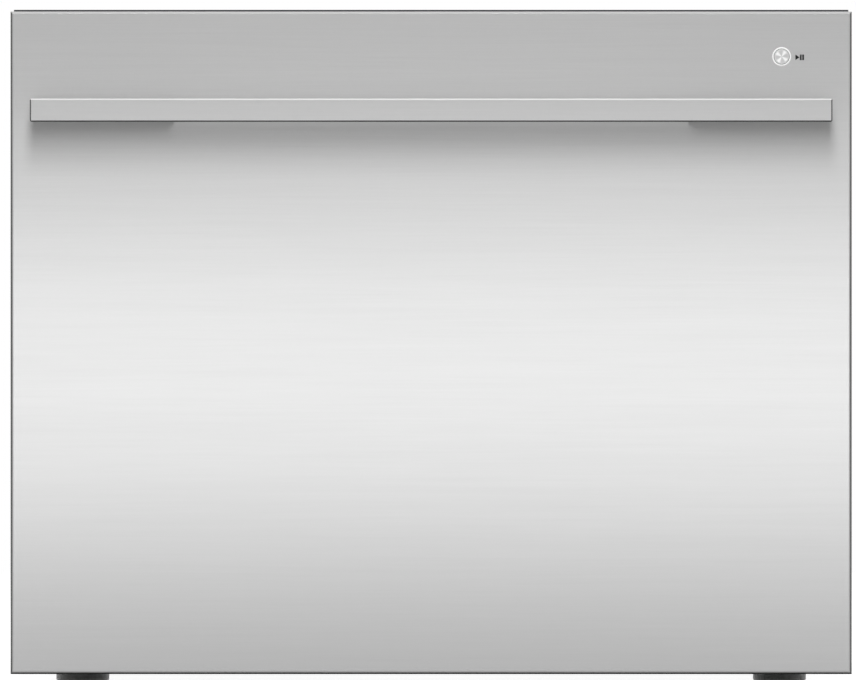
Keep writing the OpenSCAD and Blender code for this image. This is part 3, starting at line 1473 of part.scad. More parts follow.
// Open basket with three bays and a bow handle
module cutlery_basket() {
    wall = 2.2;
    z0 = basket_z + wire_r + seat_gap + 1;
    y0 = basket_y0 + 5;
    handle_z = z0 + cutlery_h + 26;
    color("gray") {
        for (y = [y0, y0 + cutlery_w - wall]) translate([-cutlery_l / 2, y, z0]) along_y(0, wall)
            lattice(cutlery_l, cutlery_h, 12, 4);
        for (x = [-cutlery_l / 2, -cutlery_l / 6, cutlery_l / 6, cutlery_l / 2 - wall]) translate([x, y0, z0])
            along_x(0, wall) lattice(cutlery_w, cutlery_h, 4, 4);
        translate([-cutlery_l / 2, y0, z0 - 1]) linear_extrude(wall) lattice(cutlery_l, cutlery_w, 14, 4);
        along_y(y0 + cutlery_w / 2 - 4, 8) {
            difference() {
                area([-cutlery_l / 6 - 4, z0 + cutlery_h - 8], [cutlery_l / 6 + 4, handle_z]);
                area([-cutlery_l / 6 + 2.2, z0 + cutlery_h - 9], [cutlery_l / 6 - 2.2, handle_z - 6]);
            }
        }
    }
}

// ---------------------------------------------------------------- fasteners of the drawer

module drawer_screws() {
    head_r = 4.4;
    head_h = 2.6;
    color("gray") both_sides() {
        for (z = fin_bolt_zs) {
            bar_y([fin_x, panel_back_y - 2.6, z], 18, 1.9);
            bar_y([fin_x, panel_back_y - 2.4 - head_h, z], head_h, 3.6);
        }
        for (x = bolt_xs) {
            bar_y([x, face_y - 14, handle_mid_z], 15.4, handle_bolt_r);
            bar_y([x, face_y + skin_t + 0.1, handle_mid_z], head_h, head_r);
        }
    }
    // sump screws, from below
    color("gray") for (p = sump_bolts) translate([p.x, tub_mid_y + p.y, tub_z - seat_gap - sump_flange_t]) {
        bar_z([0, 0, -0.1], sump_flange_t + 2.6, sump_bolt_r - 0.1);
        bar_z([0, 0, -2.1], 2, 3.2);
    }
}

// ---------------------------------------------------------------- nodes

chassis_wrap();
chassis_top();
base_tray();
side_trims();
runner_outer();
lid_drive_housings();
inlet_valve();
drain_outlet();
power_inlet();
link_bracket_chassis();
chassis_screws();
foot(-foot_x, foot_ys[0]);  // foot_front_left
foot(foot_x, foot_ys[0]);  // foot_front_right
foot(-foot_x, foot_ys[1]);  // foot_back_left
foot(foot_x, foot_ys[1]);  // foot_back_right
lid_plate();
lid_seal();
lid_racks();
mirror([1, 0, 0]) lid_pinion();  // lid_pinion_left
lid_pinion();  // lid_pinion_right
mirror([1, 0, 0]) runner_mid();  // runner_mid_left
runner_mid();  // runner_mid_right
link_arm_chassis();
link_arm_drawer();
tub();
sump();
front_skin();
panel_frame();
handle_bar();
handle_blocks();
button_bezel();
control_housing();
display_window();
control_board();
dispenser_body();
filter_plate();
pump_housing();
motor_stator();
heater_ring();
drain_hose();
runner_inner();
basket_floor();
basket_walls();
fixed_tines();
cutlery_basket();
drawer_screws();
start_button();
key(0);  // key_power
key(1);  // key_program
key(2);  // key_options
key(3);  // key_lock
dispenser_lid();
rinse_cap();
drain_filter();
spray_arm();
pump_rotor();
mirror([1, 0, 0]) cup_rack();  // cup_rack_left
cup_rack();  // cup_rack_right
mirror([1, 0, 0]) folding_tines();  // folding_tines_left
folding_tines();  // folding_tines_right
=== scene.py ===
# %% [markdown]
# # A dishwasher drawer
#
# The object is a built-in dishwasher drawer: a brushed steel front with a long bar handle, and behind it a wash tub on
# telescopic runners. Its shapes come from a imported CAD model, in metres, with +Z up and the front facing -Y. This
# lesson dresses that model: it lights it as a plain studio would, gives every piece the finish that the real one has,
# and adds the few pieces that are too fine for the CAD model.

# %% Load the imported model
import json
import math

import bpy
import numpy as np
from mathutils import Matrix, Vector


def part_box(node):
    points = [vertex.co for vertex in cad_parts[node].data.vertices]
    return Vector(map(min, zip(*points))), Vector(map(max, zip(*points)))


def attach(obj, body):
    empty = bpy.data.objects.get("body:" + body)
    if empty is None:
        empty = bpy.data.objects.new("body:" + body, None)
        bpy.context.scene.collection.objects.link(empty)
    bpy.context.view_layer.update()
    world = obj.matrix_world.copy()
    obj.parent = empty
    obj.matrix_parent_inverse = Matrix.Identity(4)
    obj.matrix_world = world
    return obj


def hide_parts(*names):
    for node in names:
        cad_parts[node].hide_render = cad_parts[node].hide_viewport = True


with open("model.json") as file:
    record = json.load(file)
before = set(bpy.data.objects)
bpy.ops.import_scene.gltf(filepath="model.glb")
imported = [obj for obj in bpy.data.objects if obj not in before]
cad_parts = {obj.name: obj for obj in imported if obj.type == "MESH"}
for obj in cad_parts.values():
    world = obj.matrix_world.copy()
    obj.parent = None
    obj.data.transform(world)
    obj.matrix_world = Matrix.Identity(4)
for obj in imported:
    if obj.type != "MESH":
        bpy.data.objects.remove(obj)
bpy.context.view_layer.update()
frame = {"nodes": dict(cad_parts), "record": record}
nodes = frame["nodes"]
MM = 0.001

# %% [markdown]
# The photograph looks straight at the front, and its sides don't converge, so the camera stood far away with a long
# lens. Four edges of the front, read off the picture in pixels, fix the rest. The front's width in pixels gives the
# picture's scale, and the front's centre gives the small step sideways and up that the camera took from it.

# %% Place the camera
photo_w_px, photo_h_px = 856, 680
front_left_px, front_right_px = 10.4, 851.9
front_top_px, front_bottom_px = 10.1, 673.8
camera_distance = 9.0

skin_low, skin_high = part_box("front_skin")
lip_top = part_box("control_housing")[1].z
px_per_m = (front_right_px - front_left_px) / (skin_high.x - skin_low.x)

camera_data = bpy.data.cameras.new("long_lens")
camera_data.sensor_width = 36.0
camera_data.lens = camera_data.sensor_width * camera_distance / (photo_w_px / px_per_m)
camera = bpy.data.objects.new("camera", camera_data)
camera.location = (
    -((front_left_px + front_right_px) / 2 - photo_w_px / 2) / px_per_m,
    skin_low.y - camera_distance,
    (lip_top + skin_low.z) / 2 + ((front_top_px + front_bottom_px) / 2 - photo_h_px / 2) / px_per_m,
)
camera.rotation_euler = (math.radians(90), 0, 0)
bpy.context.scene.collection.objects.link(camera)
bpy.context.scene.camera = camera
print("lens", round(camera_data.lens), "mm,", round(px_per_m), "pixels per metre")

# %% [markdown]
# Every finish is made with nodes on the same pattern: a shader, coordinates in metres that belong to the object, and
# noise that is stretched, squeezed or mixed. A few helpers keep those recipes short. They take and return sockets,
# so one can be plugged into the next like pipes.

# %% Helpers for finishes


def start_finish(name, colour, rough, metal=0.0):
    """A material with a bare shader. Returns the material, its node tree, its shader and the object's coordinates."""
    material = bpy.data.materials.new(name)
    material.use_nodes = True
    tree = material.node_tree
    shader = tree.nodes["Principled BSDF"]
    shader.inputs["Base Color"].default_value = (*colour, 1)
    shader.inputs["Roughness"].default_value = rough
    shader.inputs["Metallic"].default_value = metal
    return material, tree, shader, tree.nodes.new("ShaderNodeTexCoord").outputs["Object"]


def stretched(tree, where, stretch):
    """The coordinates multiplied axis by axis, so that a pattern gets finer along an axis with a large number."""
    mapping = tree.nodes.new("ShaderNodeMapping")
    mapping.inputs["Scale"].default_value = stretch
    tree.links.new(where, mapping.inputs["Vector"])
    return mapping.outputs["Vector"]


def noise(tree, where, scale, detail=2.0, rough=0.5):
    """Soft random clouds, about 1 / scale metres across."""
    node = tree.nodes.new("ShaderNodeTexNoise")
    node.inputs["Scale"].default_value = scale
    node.inputs["Detail"].default_value = detail
    node.inputs["Roughness"].default_value = rough
    tree.links.new(where, node.inputs["Vector"])
    return node.outputs["Fac"]


def spread(tree, value, low, high, first=0.3, last=0.7):
    """Values from first to last drawn out to run from low to high."""
    node = tree.nodes.new("ShaderNodeMapRange")
    for socket, number in zip(("From Min", "From Max", "To Min", "To Max"), (first, last, low, high)):
        node.inputs[socket].default_value = number
    tree.links.new(value, node.inputs["Value"])
    return node.outputs["Result"]


def tint(tree, value, dark, light):
    """A colour between dark, where value is 0, and light, where it is 1."""
    node = tree.nodes.new("ShaderNodeMix")
    node.data_type = "RGBA"
    for socket, colour in (("A", dark), ("B", light)):
        if isinstance(colour, tuple):
            node.inputs[socket].default_value = (*colour, 1)
        else:
            tree.links.new(colour, node.inputs[socket])
    tree.links.new(value, node.inputs["Factor"])
    return node.outputs["Result"]


def relief(tree, shader, value, depth):
    """Bumps of that depth in metres, raised where value is high. Bumps that are already there stay underneath."""
    node = tree.nodes.new("ShaderNodeBump")
    node.inputs["Strength"].default_value = 1.0
    node.inputs["Distance"].default_value = depth
    tree.links.new(value, node.inputs["Height"])
    if shader.inputs["Normal"].is_linked:
        tree.links.new(shader.inputs["Normal"].links[0].from_socket, node.inputs["Normal"])
    tree.links.new(node.outputs["Normal"], shader.inputs["Normal"])


def shade(colour, factor):
    """A colour made darker or lighter by a factor."""
    return tuple(min(1.0, c * factor) for c in colour)


# %% [markdown]
# Brushed steel is polished with a belt that leaves long, hair-thin scratches in one direction. Seen from a step away
# the scratches can't be counted, but they smear every reflection across the grain. So two things are made: faint
# streaks about a hundred times as long as they are wide, and a shader whose gloss is stretched across them.
#
# The front is folded from such sheet, and in the photograph its outline is a thin dark line, because each bend mirrors
# whatever stands beside the product. A bend is narrower than a pixel here, so that darkness is painted shade in the
# steel's colour, set by which way the surface points, and faces that look up are painted a given level. That holds from
# every side, since it doesn't ask where the camera is.

# %% Brushed steel


# How far round from forward a face has turned, from 1 at the front to 0 at the back, and the painted shade's brightness
# there
painted_bend_stops = ((0.0, 0.55), (0.05, 0.12), (0.80, 0.12), (0.95, 1.0))


def painted_bend_shade(tree, painted_upward_level):
    """Painted shade set by the normal alone: 1 on faces that look forward, the given upward level on those that look
    up, and darker where a bend turns aside or down.
    """
    geometry = tree.nodes.new("ShaderNodeNewGeometry")
    axes = tree.nodes.new("ShaderNodeSeparateXYZ")
    tree.links.new(geometry.outputs["Normal"], axes.inputs[0])
    forward = spread(tree, axes.outputs["Y"], 1, 0, -1, 0)
    ramp = tree.nodes.new("ShaderNodeValToRGB")
    tree.links.new(forward, ramp.inputs["Fac"])
    for place, level in painted_bend_stops:
        element = ramp.color_ramp.elements[0] if place == 0.0 else ramp.color_ramp.elements.new(place)
        element.color = (level, level, level, 1)
    upward = spread(tree, axes.outputs["Z"], 0, 1, 0.05, 0.35)
    mix = tree.nodes.new("ShaderNodeMix")
    mix.data_type = "FLOAT"
    tree.links.new(upward, mix.inputs["Factor"])
    tree.links.new(ramp.outputs["Color"], mix.inputs["A"])
    mix.inputs["B"].default_value = painted_upward_level
    return mix.outputs["Result"]


def brushed_steel(name, colour, rough, along="x", streak=0.025, smear=0.7, metal=1.0, painted_bends=None):
    """Metal with a grain along one axis: streaks 60 mm long and under 1 mm wide, in colour and in roughness.

    Where a number is given for the painted bend shade, each bend is darkened with painted shade, and the number is how
    bright the faces that look up are painted.
    """
    material, tree, shader, where = start_finish(name, colour, rough, metal)
    fine = {"x": (16, 1500, 1500), "y": (1500, 16, 1500), "z": (1500, 1500, 16)}[along]
    wide = {"x": (5, 260, 260), "y": (260, 5, 260), "z": (260, 260, 5)}[along]
    hair = noise(tree, stretched(tree, where, fine), 1.0, 3.0, 0.6)
    band = noise(tree, stretched(tree, where, wide), 1.0, 2.0)
    both = tree.nodes.new("ShaderNodeMath")
    both.operation = "MULTIPLY_ADD"
    both.inputs[1].default_value = 0.6
    tree.links.new(hair, both.inputs[0])
    scaled = tree.nodes.new("ShaderNodeMath")
    scaled.operation = "MULTIPLY"
    scaled.inputs[1].default_value = 0.4
    tree.links.new(band, scaled.inputs[0])
    tree.links.new(scaled.outputs[0], both.inputs[2])
    grain = spread(tree, both.outputs[0], 0, 1)
    steel = tint(tree, grain, shade(colour, 1 - streak), shade(colour, 1 + streak))
    # Painted shade: the colour is darkened towards black where a bend turns aside or down, by which way the surface
    # points.
    if painted_bends is not None:
        steel = tint(tree, painted_bend_shade(tree, painted_bends), (0, 0, 0), steel)
    tree.links.new(steel, shader.inputs["Base Color"])
    tree.links.new(spread(tree, grain, rough + 0.012, rough - 0.012, 0, 1), shader.inputs["Roughness"])
    shader.inputs["Anisotropic"].default_value = smear
    shader.inputs["Anisotropic Rotation"].default_value = 0.25
    tangent = tree.nodes.new("ShaderNodeTangent")
    tangent.direction_type = "RADIAL"
    tangent.axis = "Z"
    tree.links.new(tangent.outputs["Tangent"], shader.inputs["Tangent"])
    relief(tree, shader, hair, 0.0000006)
    return material


# %% [markdown]
# The chassis is folded from zinc-coated sheet. Hot zinc freezes into flat crystals that tilt each their own way, which
# is why such sheet looks faintly patchy. A cell pattern gives each crystal its own brightness and roughness.

# %% Zinc-coated sheet


def zinc_sheet(name, colour, rough, crystal=0.006):
    """Sheet metal with crystals about that wide, in metres, each a little brighter or duller than the next."""
    material, tree, shader, where = start_finish(name, colour, rough, 1.0)
    cells = tree.nodes.new("ShaderNodeTexVoronoi")
    cells.inputs["Scale"].default_value = 1 / crystal
    cells.inputs["Randomness"].default_value = 1.0
    tree.links.new(where, cells.inputs["Vector"])
    each = tree.nodes.new("ShaderNodeSeparateColor")
    tree.links.new(cells.outputs["Color"], each.inputs["Color"])
    colours = tint(tree, each.outputs["Red"], shade(colour, 0.90), shade(colour, 1.07))
    tree.links.new(colours, shader.inputs["Base Color"])
    tree.links.new(spread(tree, each.outputs["Green"], rough - 0.06, rough + 0.08, 0, 1), shader.inputs["Roughness"])
    relief(tree, shader, noise(tree, where, 40, 2), 0.000012)
    return material


# %% [markdown]
# Moulded plastic copies the steel of its mould. A spark-eroded mould leaves a fine even pebble grain, and thick and
# thin places cool at different rates, so large areas vary a little in gloss. Rubber and nylon coats differ only in
# how coarse, how deep and how shiny that is, so one recipe serves for all of them.

# %% Moulded plastic


def moulded(name, colour, rough, pebble=0.0006, depth=0.00002, cloud=0.02, coat=0.0):
    """Plastic with pebbles about that wide and deep, in metres, and slow clouds in its colour and gloss."""
    material, tree, shader, where = start_finish(name, colour, rough)
    slow = noise(tree, where, 9, 1)
    colours = tint(tree, spread(tree, slow, 0, 1), shade(colour, 1 - cloud), shade(colour, 1 + cloud))
    tree.links.new(colours, shader.inputs["Base Color"])
    tree.links.new(spread(tree, slow, rough - 0.03, rough + 0.03), shader.inputs["Roughness"])
    relief(tree, shader, noise(tree, where, 1 / pebble, 2, 0.6), depth)
    shader.inputs["Coat Weight"].default_value = coat
    return material


# %% [markdown]
# A few finishes stand alone: polished trim, near-white trim whose colour is a painted reflection, spun metal whose
# scratches run in circles under a painted highlight of bright spokes, the glassy window over the display, the green
# board with its copper tracks, and the dark resin round the motor's coils.

# %% Special finishes


def polished(name, colour, rough):
    """Bright metal with only a breath of wear in its gloss."""
    material, tree, shader, where = start_finish(name, colour, rough, 1.0)
    tree.links.new(spread(tree, noise(tree, where, 90, 3), rough, rough + 0.08), shader.inputs["Roughness"])
    return material


def painted_bright_satin(name, colour, rough):
    """Trim whose bright metal is painted as a near-white colour on a nearly non-metal shader, a painted reflection that
    reads as nearly white from every side, with a breath of wear in its gloss.
    """
    material, tree, shader, where = start_finish(name, colour, rough, 0.05)
    tree.links.new(spread(tree, noise(tree, where, 90, 3), rough, rough + 0.06), shader.inputs["Roughness"])
    return material


def spun_metal_painted_star(name, colour, rough, centre, ring=0.00022, spokes=4):
    """A turned disc that faces -Y: rings that wide round the centre, a painted highlight of bright spokes across them,
    and darker towards the rim.
    """
    material, tree, shader, where = start_finish(name, colour, rough, 0.15)
    mapping = tree.nodes.new("ShaderNodeMapping")
    mapping.inputs["Location"].default_value = (-centre[0], centre[2], -centre[1])
    mapping.inputs["Rotation"].default_value = (math.radians(90), 0, 0)
    tree.links.new(where, mapping.inputs["Vector"])
    length = tree.nodes.new("ShaderNodeVectorMath")
    length.operation = "LENGTH"
    tree.links.new(mapping.outputs["Vector"], length.inputs[0])
    turn = tree.nodes.new("ShaderNodeTexGradient")
    turn.gradient_type = "RADIAL"
    tree.links.new(mapping.outputs["Vector"], turn.inputs["Vector"])

    def wave(value, factor, start):
        """The sine of start + value * factor."""
        angle = tree.nodes.new("ShaderNodeMath")
        angle.operation = "MULTIPLY_ADD"
        angle.inputs[1].default_value = factor
        angle.inputs[2].default_value = start
        tree.links.new(value, angle.inputs[0])
        sine = tree.nodes.new("ShaderNodeMath")
        sine.operation = "SINE"
        tree.links.new(angle.outputs[0], sine.inputs[0])
        return sine.outputs[0]

    # Painted highlight: bright spokes painted into the colour by their angle round the centre, and the colour darker
    # towards the rim.
    painted_star = spread(tree, wave(turn.outputs["Fac"], 2 * math.pi * spokes, -0.87), 0, 1, -0.5, 1)
    face = tint(tree, painted_star, shade(colour, 0.64), shade(colour, 1.2))
    rim = spread(tree, length.outputs["Value"], 0, 1, 0.0042, 0.0048)
    tree.links.new(tint(tree, rim, face, shade(colour, 0.72)), shader.inputs["Base Color"])
    relief(tree, shader, wave(length.outputs["Value"], 2 * math.pi / ring, 0), 0.000003)
    return material


def printed_board(name):
    """Green solder resist over copper tracks: the tracks are where two square cell patterns pass a limit."""
    resist, copper = (0.012, 0.11, 0.05), (0.05, 0.21, 0.09)
    material, tree, shader, where = start_finish(name, resist, 0.35)
    bricks = tree.nodes.new("ShaderNodeTexBrick")
    bricks.inputs["Scale"].default_value = 90
    bricks.inputs["Mortar Size"].default_value = 0.03
    bricks.inputs["Color1"].default_value = (*resist, 1)
    bricks.inputs["Color2"].default_value = (*shade(resist, 1.3), 1)
    bricks.inputs["Mortar"].default_value = (*copper, 1)
    tree.links.new(where, bricks.inputs["Vector"])
    tree.links.new(bricks.outputs["Color"], shader.inputs["Base Color"])
    relief(tree, shader, bricks.outputs["Fac"], 0.00003)
    return material


# %% [markdown]
# Each material slot of the imported model now gets its finish. The colours are those of the photograph where it shows
# the piece, and those of common dishwashers elsewhere: light grey for the tub, mid grey for racks, white acetal for
# gears.

# The handle's bar is the same steel as the front, but its top is a flat polished face and not a folded edge. So it has
# a copy of the steel of its own, whose painted shade leaves the faces that look up at their full colour.

# %% One finish for each material slot
front_grey, front_rough, front_smear, front_metal = (0.80, 0.80, 0.80), 0.17, 0.6, 0.5
button_low, button_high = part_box("start_button")
button_centre = (button_low + button_high) / 2

finishes = {
    # The front's steel has painted shade on its bends, and its faces that look up are painted at 0.7 of its colour.
    "brushed_steel": brushed_steel(
        "brushed_steel", front_grey, front_rough, smear=front_smear, metal=front_metal, painted_bends=0.7
    ),
    # Painted shade: the blocks behind the handle's ends are metal, but this slot gives them dark grey so that the front
    # mirrors shade under the bar.
    "grip_metal": moulded("grip_metal", (0.16, 0.16, 0.16), 0.5, 0.0005),
    "sump_plastic": moulded("sump_plastic", (0.36, 0.37, 0.38), 0.42),
    "zinc_steel": zinc_sheet("zinc_sheet", (0.50, 0.505, 0.51), 0.36),
    "runner_steel": zinc_sheet("runner_zinc", (0.56, 0.565, 0.58), 0.26, 0.02),
    "screw_steel": polished("screw_steel", (0.52, 0.52, 0.52), 0.28),
    # Painted reflection: the bright ring is metal, but it is given a near-white, nearly non-metal colour.
    "bright_trim": painted_bright_satin("painted_bright_ring", (0.96, 0.96, 0.96), 0.18),
    "button_metal": spun_metal_painted_star(
        "spun_button_painted_star", (0.93, 0.93, 0.93), 0.25, (button_centre.x, button_low.y, button_centre.z)
    ),
    "heater_steel": brushed_steel("drawn_tube", (0.58, 0.57, 0.55), 0.34, "z", 0.06),
    "black_plastic": moulded("black_plastic", (0.04, 0.04, 0.042), 0.45),
    "window_plastic": moulded("smoked_window", (0.012, 0.012, 0.014), 0.08, depth=0.000002, coat=0.6),
    "key_plastic": moulded("key_plastic", (0.42, 0.43, 0.44), 0.32, 0.0003, 0.000006),
    "frame_plastic": moulded("frame_plastic", (0.075, 0.075, 0.08), 0.55),
    "tub_plastic": moulded("tub_plastic", (0.56, 0.58, 0.60), 0.30, 0.0009, 0.000012),
    "lid_plastic": moulded("lid_plastic", (0.66, 0.66, 0.65), 0.40),
    "filter_plastic": moulded("filter_plastic", (0.10, 0.105, 0.115), 0.42),
    "pump_plastic": moulded("pump_plastic", (0.16, 0.165, 0.18), 0.40),
    "spray_plastic": moulded("spray_plastic", (0.27, 0.30, 0.35), 0.34),
    "rotor_plastic": moulded("rotor_plastic", (0.03, 0.03, 0.032), 0.38),
    "motor_resin": moulded("motor_resin", (0.02, 0.028, 0.02), 0.25, 0.004, 0.00012),
    "rack_plastic": moulded("rack_plastic", (0.24, 0.25, 0.27), 0.38),
    "coated_wire": moulded("coated_wire", (0.26, 0.27, 0.29), 0.30, 0.0008, 0.00001, 0.06),
    "dispenser_plastic": moulded("dispenser_plastic", (0.50, 0.51, 0.53), 0.24, 0.0005, 0.000004),
    "cap_plastic": moulded("cap_plastic", (0.02, 0.09, 0.30), 0.26, 0.0005, 0.000004),
    "gear_plastic": moulded("gear_plastic", (0.78, 0.75, 0.66), 0.36, 0.0004, 0.000004),
    "drive_plastic": moulded("drive_plastic", (0.07, 0.08, 0.085), 0.48),
    "valve_plastic": moulded("valve_plastic", (0.72, 0.72, 0.69), 0.42),
    "hose_plastic": moulded("hose_plastic", (0.12, 0.125, 0.13), 0.45),
    "link_plastic": moulded("link_plastic", (0.36, 0.37, 0.38), 0.42),
    "foot_plastic": moulded("foot_plastic", (0.86, 0.86, 0.85), 0.5),
    "board_laminate": printed_board("board_laminate"),
    "seal_rubber": moulded("seal_rubber", (0.10, 0.10, 0.105), 0.6, 0.0004, 0.00001),
    "trim_rubber": moulded("trim_rubber", (0.012, 0.012, 0.012), 0.62, 0.0004, 0.00001),
}

for part in frame["record"]["subparts"]:
    for place in nodes[part["node"]].material_slots:
        place.material = finishes[part["material_slot"]]
# A copy of the front's steel that differs only in its painted shade: faces that look up keep their full colour.
bar_steel_painted_shade = brushed_steel("brushed_bar_painted_shade", front_grey, front_rough, smear=front_smear, metal=front_metal, painted_bends=1.0)
nodes["handle_bar"].material_slots[0].material = bar_steel_painted_shade
print(len(finishes), "finishes, and one for the bar")

# %% [markdown]
# Beside the start button the front carries a small printed sign for play and pause. It is ink, a few hundredths of a
# millimetre thick, so it is made as three flat prisms: a triangle and two bars. Each prism is an outline and a copy of
# it pushed forward, with faces between them.

# %% The play and pause sign
sign_x, sign_drop = 262.4 * MM, 33.9 * MM
sign_h, sign_gap, bar_w = 4.0 * MM, 0.45 * MM, 1.25 * MM
triangle_start, triangle_w, bars_end = 3.1 * MM, 2.9 * MM, 3.0 * MM
ink = 0.04 * MM


def mesh_piece(name, points, faces, material, body):
    """An object made of points and faces in place, with its finish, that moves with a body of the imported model."""
    mesh = bpy.data.meshes.new(name)
    mesh.from_pydata(np.asarray(points, float).tolist(), [], [list(map(int, f)) for f in faces])
    mesh.validate()
    mesh.materials.append(material)
    piece = bpy.data.objects.new(name, mesh)
    bpy.context.scene.collection.objects.link(piece)
    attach(piece, body)
    return piece


def front_prism(outline, y, thick):
    """Points and faces of an outline [x, z], anticlockwise as seen from the front, thick in -Y from y."""
    outline = np.asarray(outline, float)
    count = len(outline)
    ring = np.arange(count)
    back = np.column_stack([outline[:, 0], np.full(count, y), outline[:, 1]])
    front = back - [0, thick, 0]
    sides = np.column_stack([ring, (ring + 1) % count, (ring + 1) % count + count, ring + count])
    return np.vstack([back, front]), [ring[::-1], ring + count, *sides]


sign_z = lip_top - sign_drop
sign_low, sign_high = sign_z - sign_h / 2, sign_z + sign_h / 2
left = sign_x - triangle_start
bars_x = [sign_x + bars_end - bar_w, sign_x + bars_end - 2 * bar_w - sign_gap]
outlines = [[[left, sign_low], [left + triangle_w, sign_z], [left, sign_high]]]
outlines += [[[x, sign_low], [x + bar_w, sign_low], [x + bar_w, sign_high], [x, sign_high]] for x in bars_x]
points, faces = [], []
for outline in outlines:
    prism_points, prism_faces = front_prism(outline, skin_low.y, ink)
    faces += [np.asarray(f) + sum(len(p) for p in points) for f in prism_faces]
    points.append(prism_points)
sign_ink = moulded("sign_ink", (0.008, 0.008, 0.008), 0.6, 0.0002, 0.000002)
mesh_piece("play_pause_sign", np.vstack(points), faces, sign_ink, "drawer")
print(len(outlines), "prisms in the sign")

# %% [markdown]
# The start button is a turned cap in a thin bright ring. Both are lathe shapes: an outline of radii and heights is
# swung round the button's axis. The ring is a half-round bead, and the cap's face is a shallow dome whose edge rolls
# over into a skirt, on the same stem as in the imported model.

# %% The button and its ring
face = skin_low.y


def turned(outline, centre, count=96, hollow=False):
    """Points and faces of an outline [radius, height] swung round an axis along -Y through centre [x, z].

    The point at radius r and height h goes to (x + r cos a, h, z + r sin a) for count even steps of a. The outline
    runs from the back to the front outside the shape, and a hollow one closes on itself.
    """
    radius, height = np.asarray(outline, float).T
    angle = np.arange(count) * 2 * math.pi / count
    points = np.empty((len(radius), count, 3))
    points[..., 0] = centre[0] + radius[:, None] * np.cos(angle)
    points[..., 1] = height[:, None]
    points[..., 2] = centre[1] + radius[:, None] * np.sin(angle)
    rows = len(radius) if hollow else len(radius) - 1
    row, step = np.meshgrid(np.arange(rows), np.arange(count), indexing="ij")
    below, above = row * count, (row + 1) % len(radius) * count
    after = (step + 1) % count
    quads = np.stack([below + step, below + after, above + after, above + step], axis=-1).reshape(-1, 4)
    if hollow:
        return points.reshape(-1, 3), list(quads)
    ring = np.arange(count)
    return points.reshape(-1, 3), [*quads, ring[::-1], ring + rows * count]


def bow(start, end, bulge, count=12):
    """Points on a shallow arc from start to end: start + t (end - start), pushed out by 4 t (1 - t) times bulge."""
    t = np.linspace(0, 1, count)[:, None]
    start, end = np.asarray(start, float), np.asarray(end, float)
    along = (end - start) / np.linalg.norm(end - start)
    return start + t * (end - start) + 4 * t * (1 - t) * bulge * np.array([-along[1], along[0]])


ring_out, ring_in, cap_r, stem_r = 6.75 * MM, 5.65 * MM, 5.4 * MM, 2.4 * MM
ring_depth, ring_step = 1.2 * MM, 0.6 * MM
cap_depth, cap_neck, dome_rise, edge_roll = 6.5 * MM, 0.55 * MM, 0.28 * MM, 0.3 * MM
axis = (button_centre.x, button_centre.z)
bead = bow((ring_out, face), (ring_in, face - 0.1 * MM), 0.3 * MM, 24)
ring_back = [[ring_in, face + ring_depth], [ring_out - ring_step, face + ring_depth], [ring_out - ring_step, face]]
ring_outline = np.vstack([*ring_back, bead])
ring_piece = mesh_piece("button_ring", *turned(ring_outline, axis, hollow=True), finishes["bright_trim"], "drawer")
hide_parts("button_bezel")

cap_front = button_low.y
dome = np.linspace(1, 0.004, 24)
dome = np.column_stack([(cap_r - edge_roll) * dome, cap_front + dome_rise * dome**2])
edge = bow((cap_r, cap_front + 0.75 * MM), dome[0], 0.09 * MM, 8)
stem_end = button_high.y
cap_outline = np.vstack([
    [[0.02 * MM, stem_end], [stem_r, stem_end]],
    [[stem_r, cap_front + cap_depth], [cap_r - cap_neck, cap_front + cap_depth]],
    [[cap_r - cap_neck, cap_front + 2.2 * MM], [cap_r, cap_front + 1.9 * MM]],
    edge,
    dome[1:],
])
cap_piece = mesh_piece("button_cap", *turned(cap_outline, axis), finishes["button_metal"], "start_button")
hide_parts("start_button")
print("cap", round(2 * cap_r / MM, 1), "mm and ring", round(2 * ring_out / MM, 1), "mm across")

# %% [markdown]
# The chassis stands on four levelling feet. Each is a soft pad, a hexagon for the spanner and a threaded stud that
# winds into the tray. All three are round an upright axis, so one surface of radii and heights makes them: the pad
# has one radius for each height, the hexagon's radius changes with the angle, and the thread's with both.

# %% Levelling feet


def upright(radius, height, count=48, hollow=False):
    """Points and faces of a solid round the Z axis, from a radius and a height for each row and each step of the turn.

    The point of row i and step j is (r cos a, r sin a, h), where a is j steps of the turn, r is radius[i, j] and h is
    height[i, j]. Rows run from low to high outside the solid, and those of a hollow one close on themselves.
    """
    rows = max(len(radius), len(height))
    radius = np.broadcast_to(np.reshape(radius, (len(radius), -1)), (rows, count))
    height = np.broadcast_to(np.reshape(height, (len(height), -1)), (rows, count))
    angle = np.arange(count) * 2 * math.pi / count
    points = np.stack([radius * np.cos(angle), radius * np.sin(angle), height], axis=-1).reshape(-1, 3)
    row, step = np.meshgrid(np.arange(rows if hollow else rows - 1), np.arange(count), indexing="ij")
    below, above, after = row * count, (row + 1) % rows * count, (step + 1) % count
    quads = np.stack([below + step, below + after, above + after, above + step], axis=-1).reshape(-1, 4)
    ring = np.arange(count)
    return points, list(quads) if hollow else [*quads, ring[::-1], ring + (rows - 1) * count]


def thread(crest, depth, pitch, start, end, count=48, steps=6):
    """Radii and heights of a screw thread: crest less a triangle wave that climbs one pitch in each turn."""
    height = np.arange(start, end, pitch / steps)[:, None]
    wave = np.abs(2 * ((height / pitch - np.arange(count) / count) % 1) - 1)
    return crest - depth * wave, height


def joined(solids):
    """The points and faces of several solids as one list each."""
    points = np.vstack([p for p, _ in solids])
    starts = np.cumsum([0] + [len(p) for p, _ in solids[:-1]])
    return points, [np.asarray(face) + start for (_, faces), start in zip(solids, starts) for face in faces]


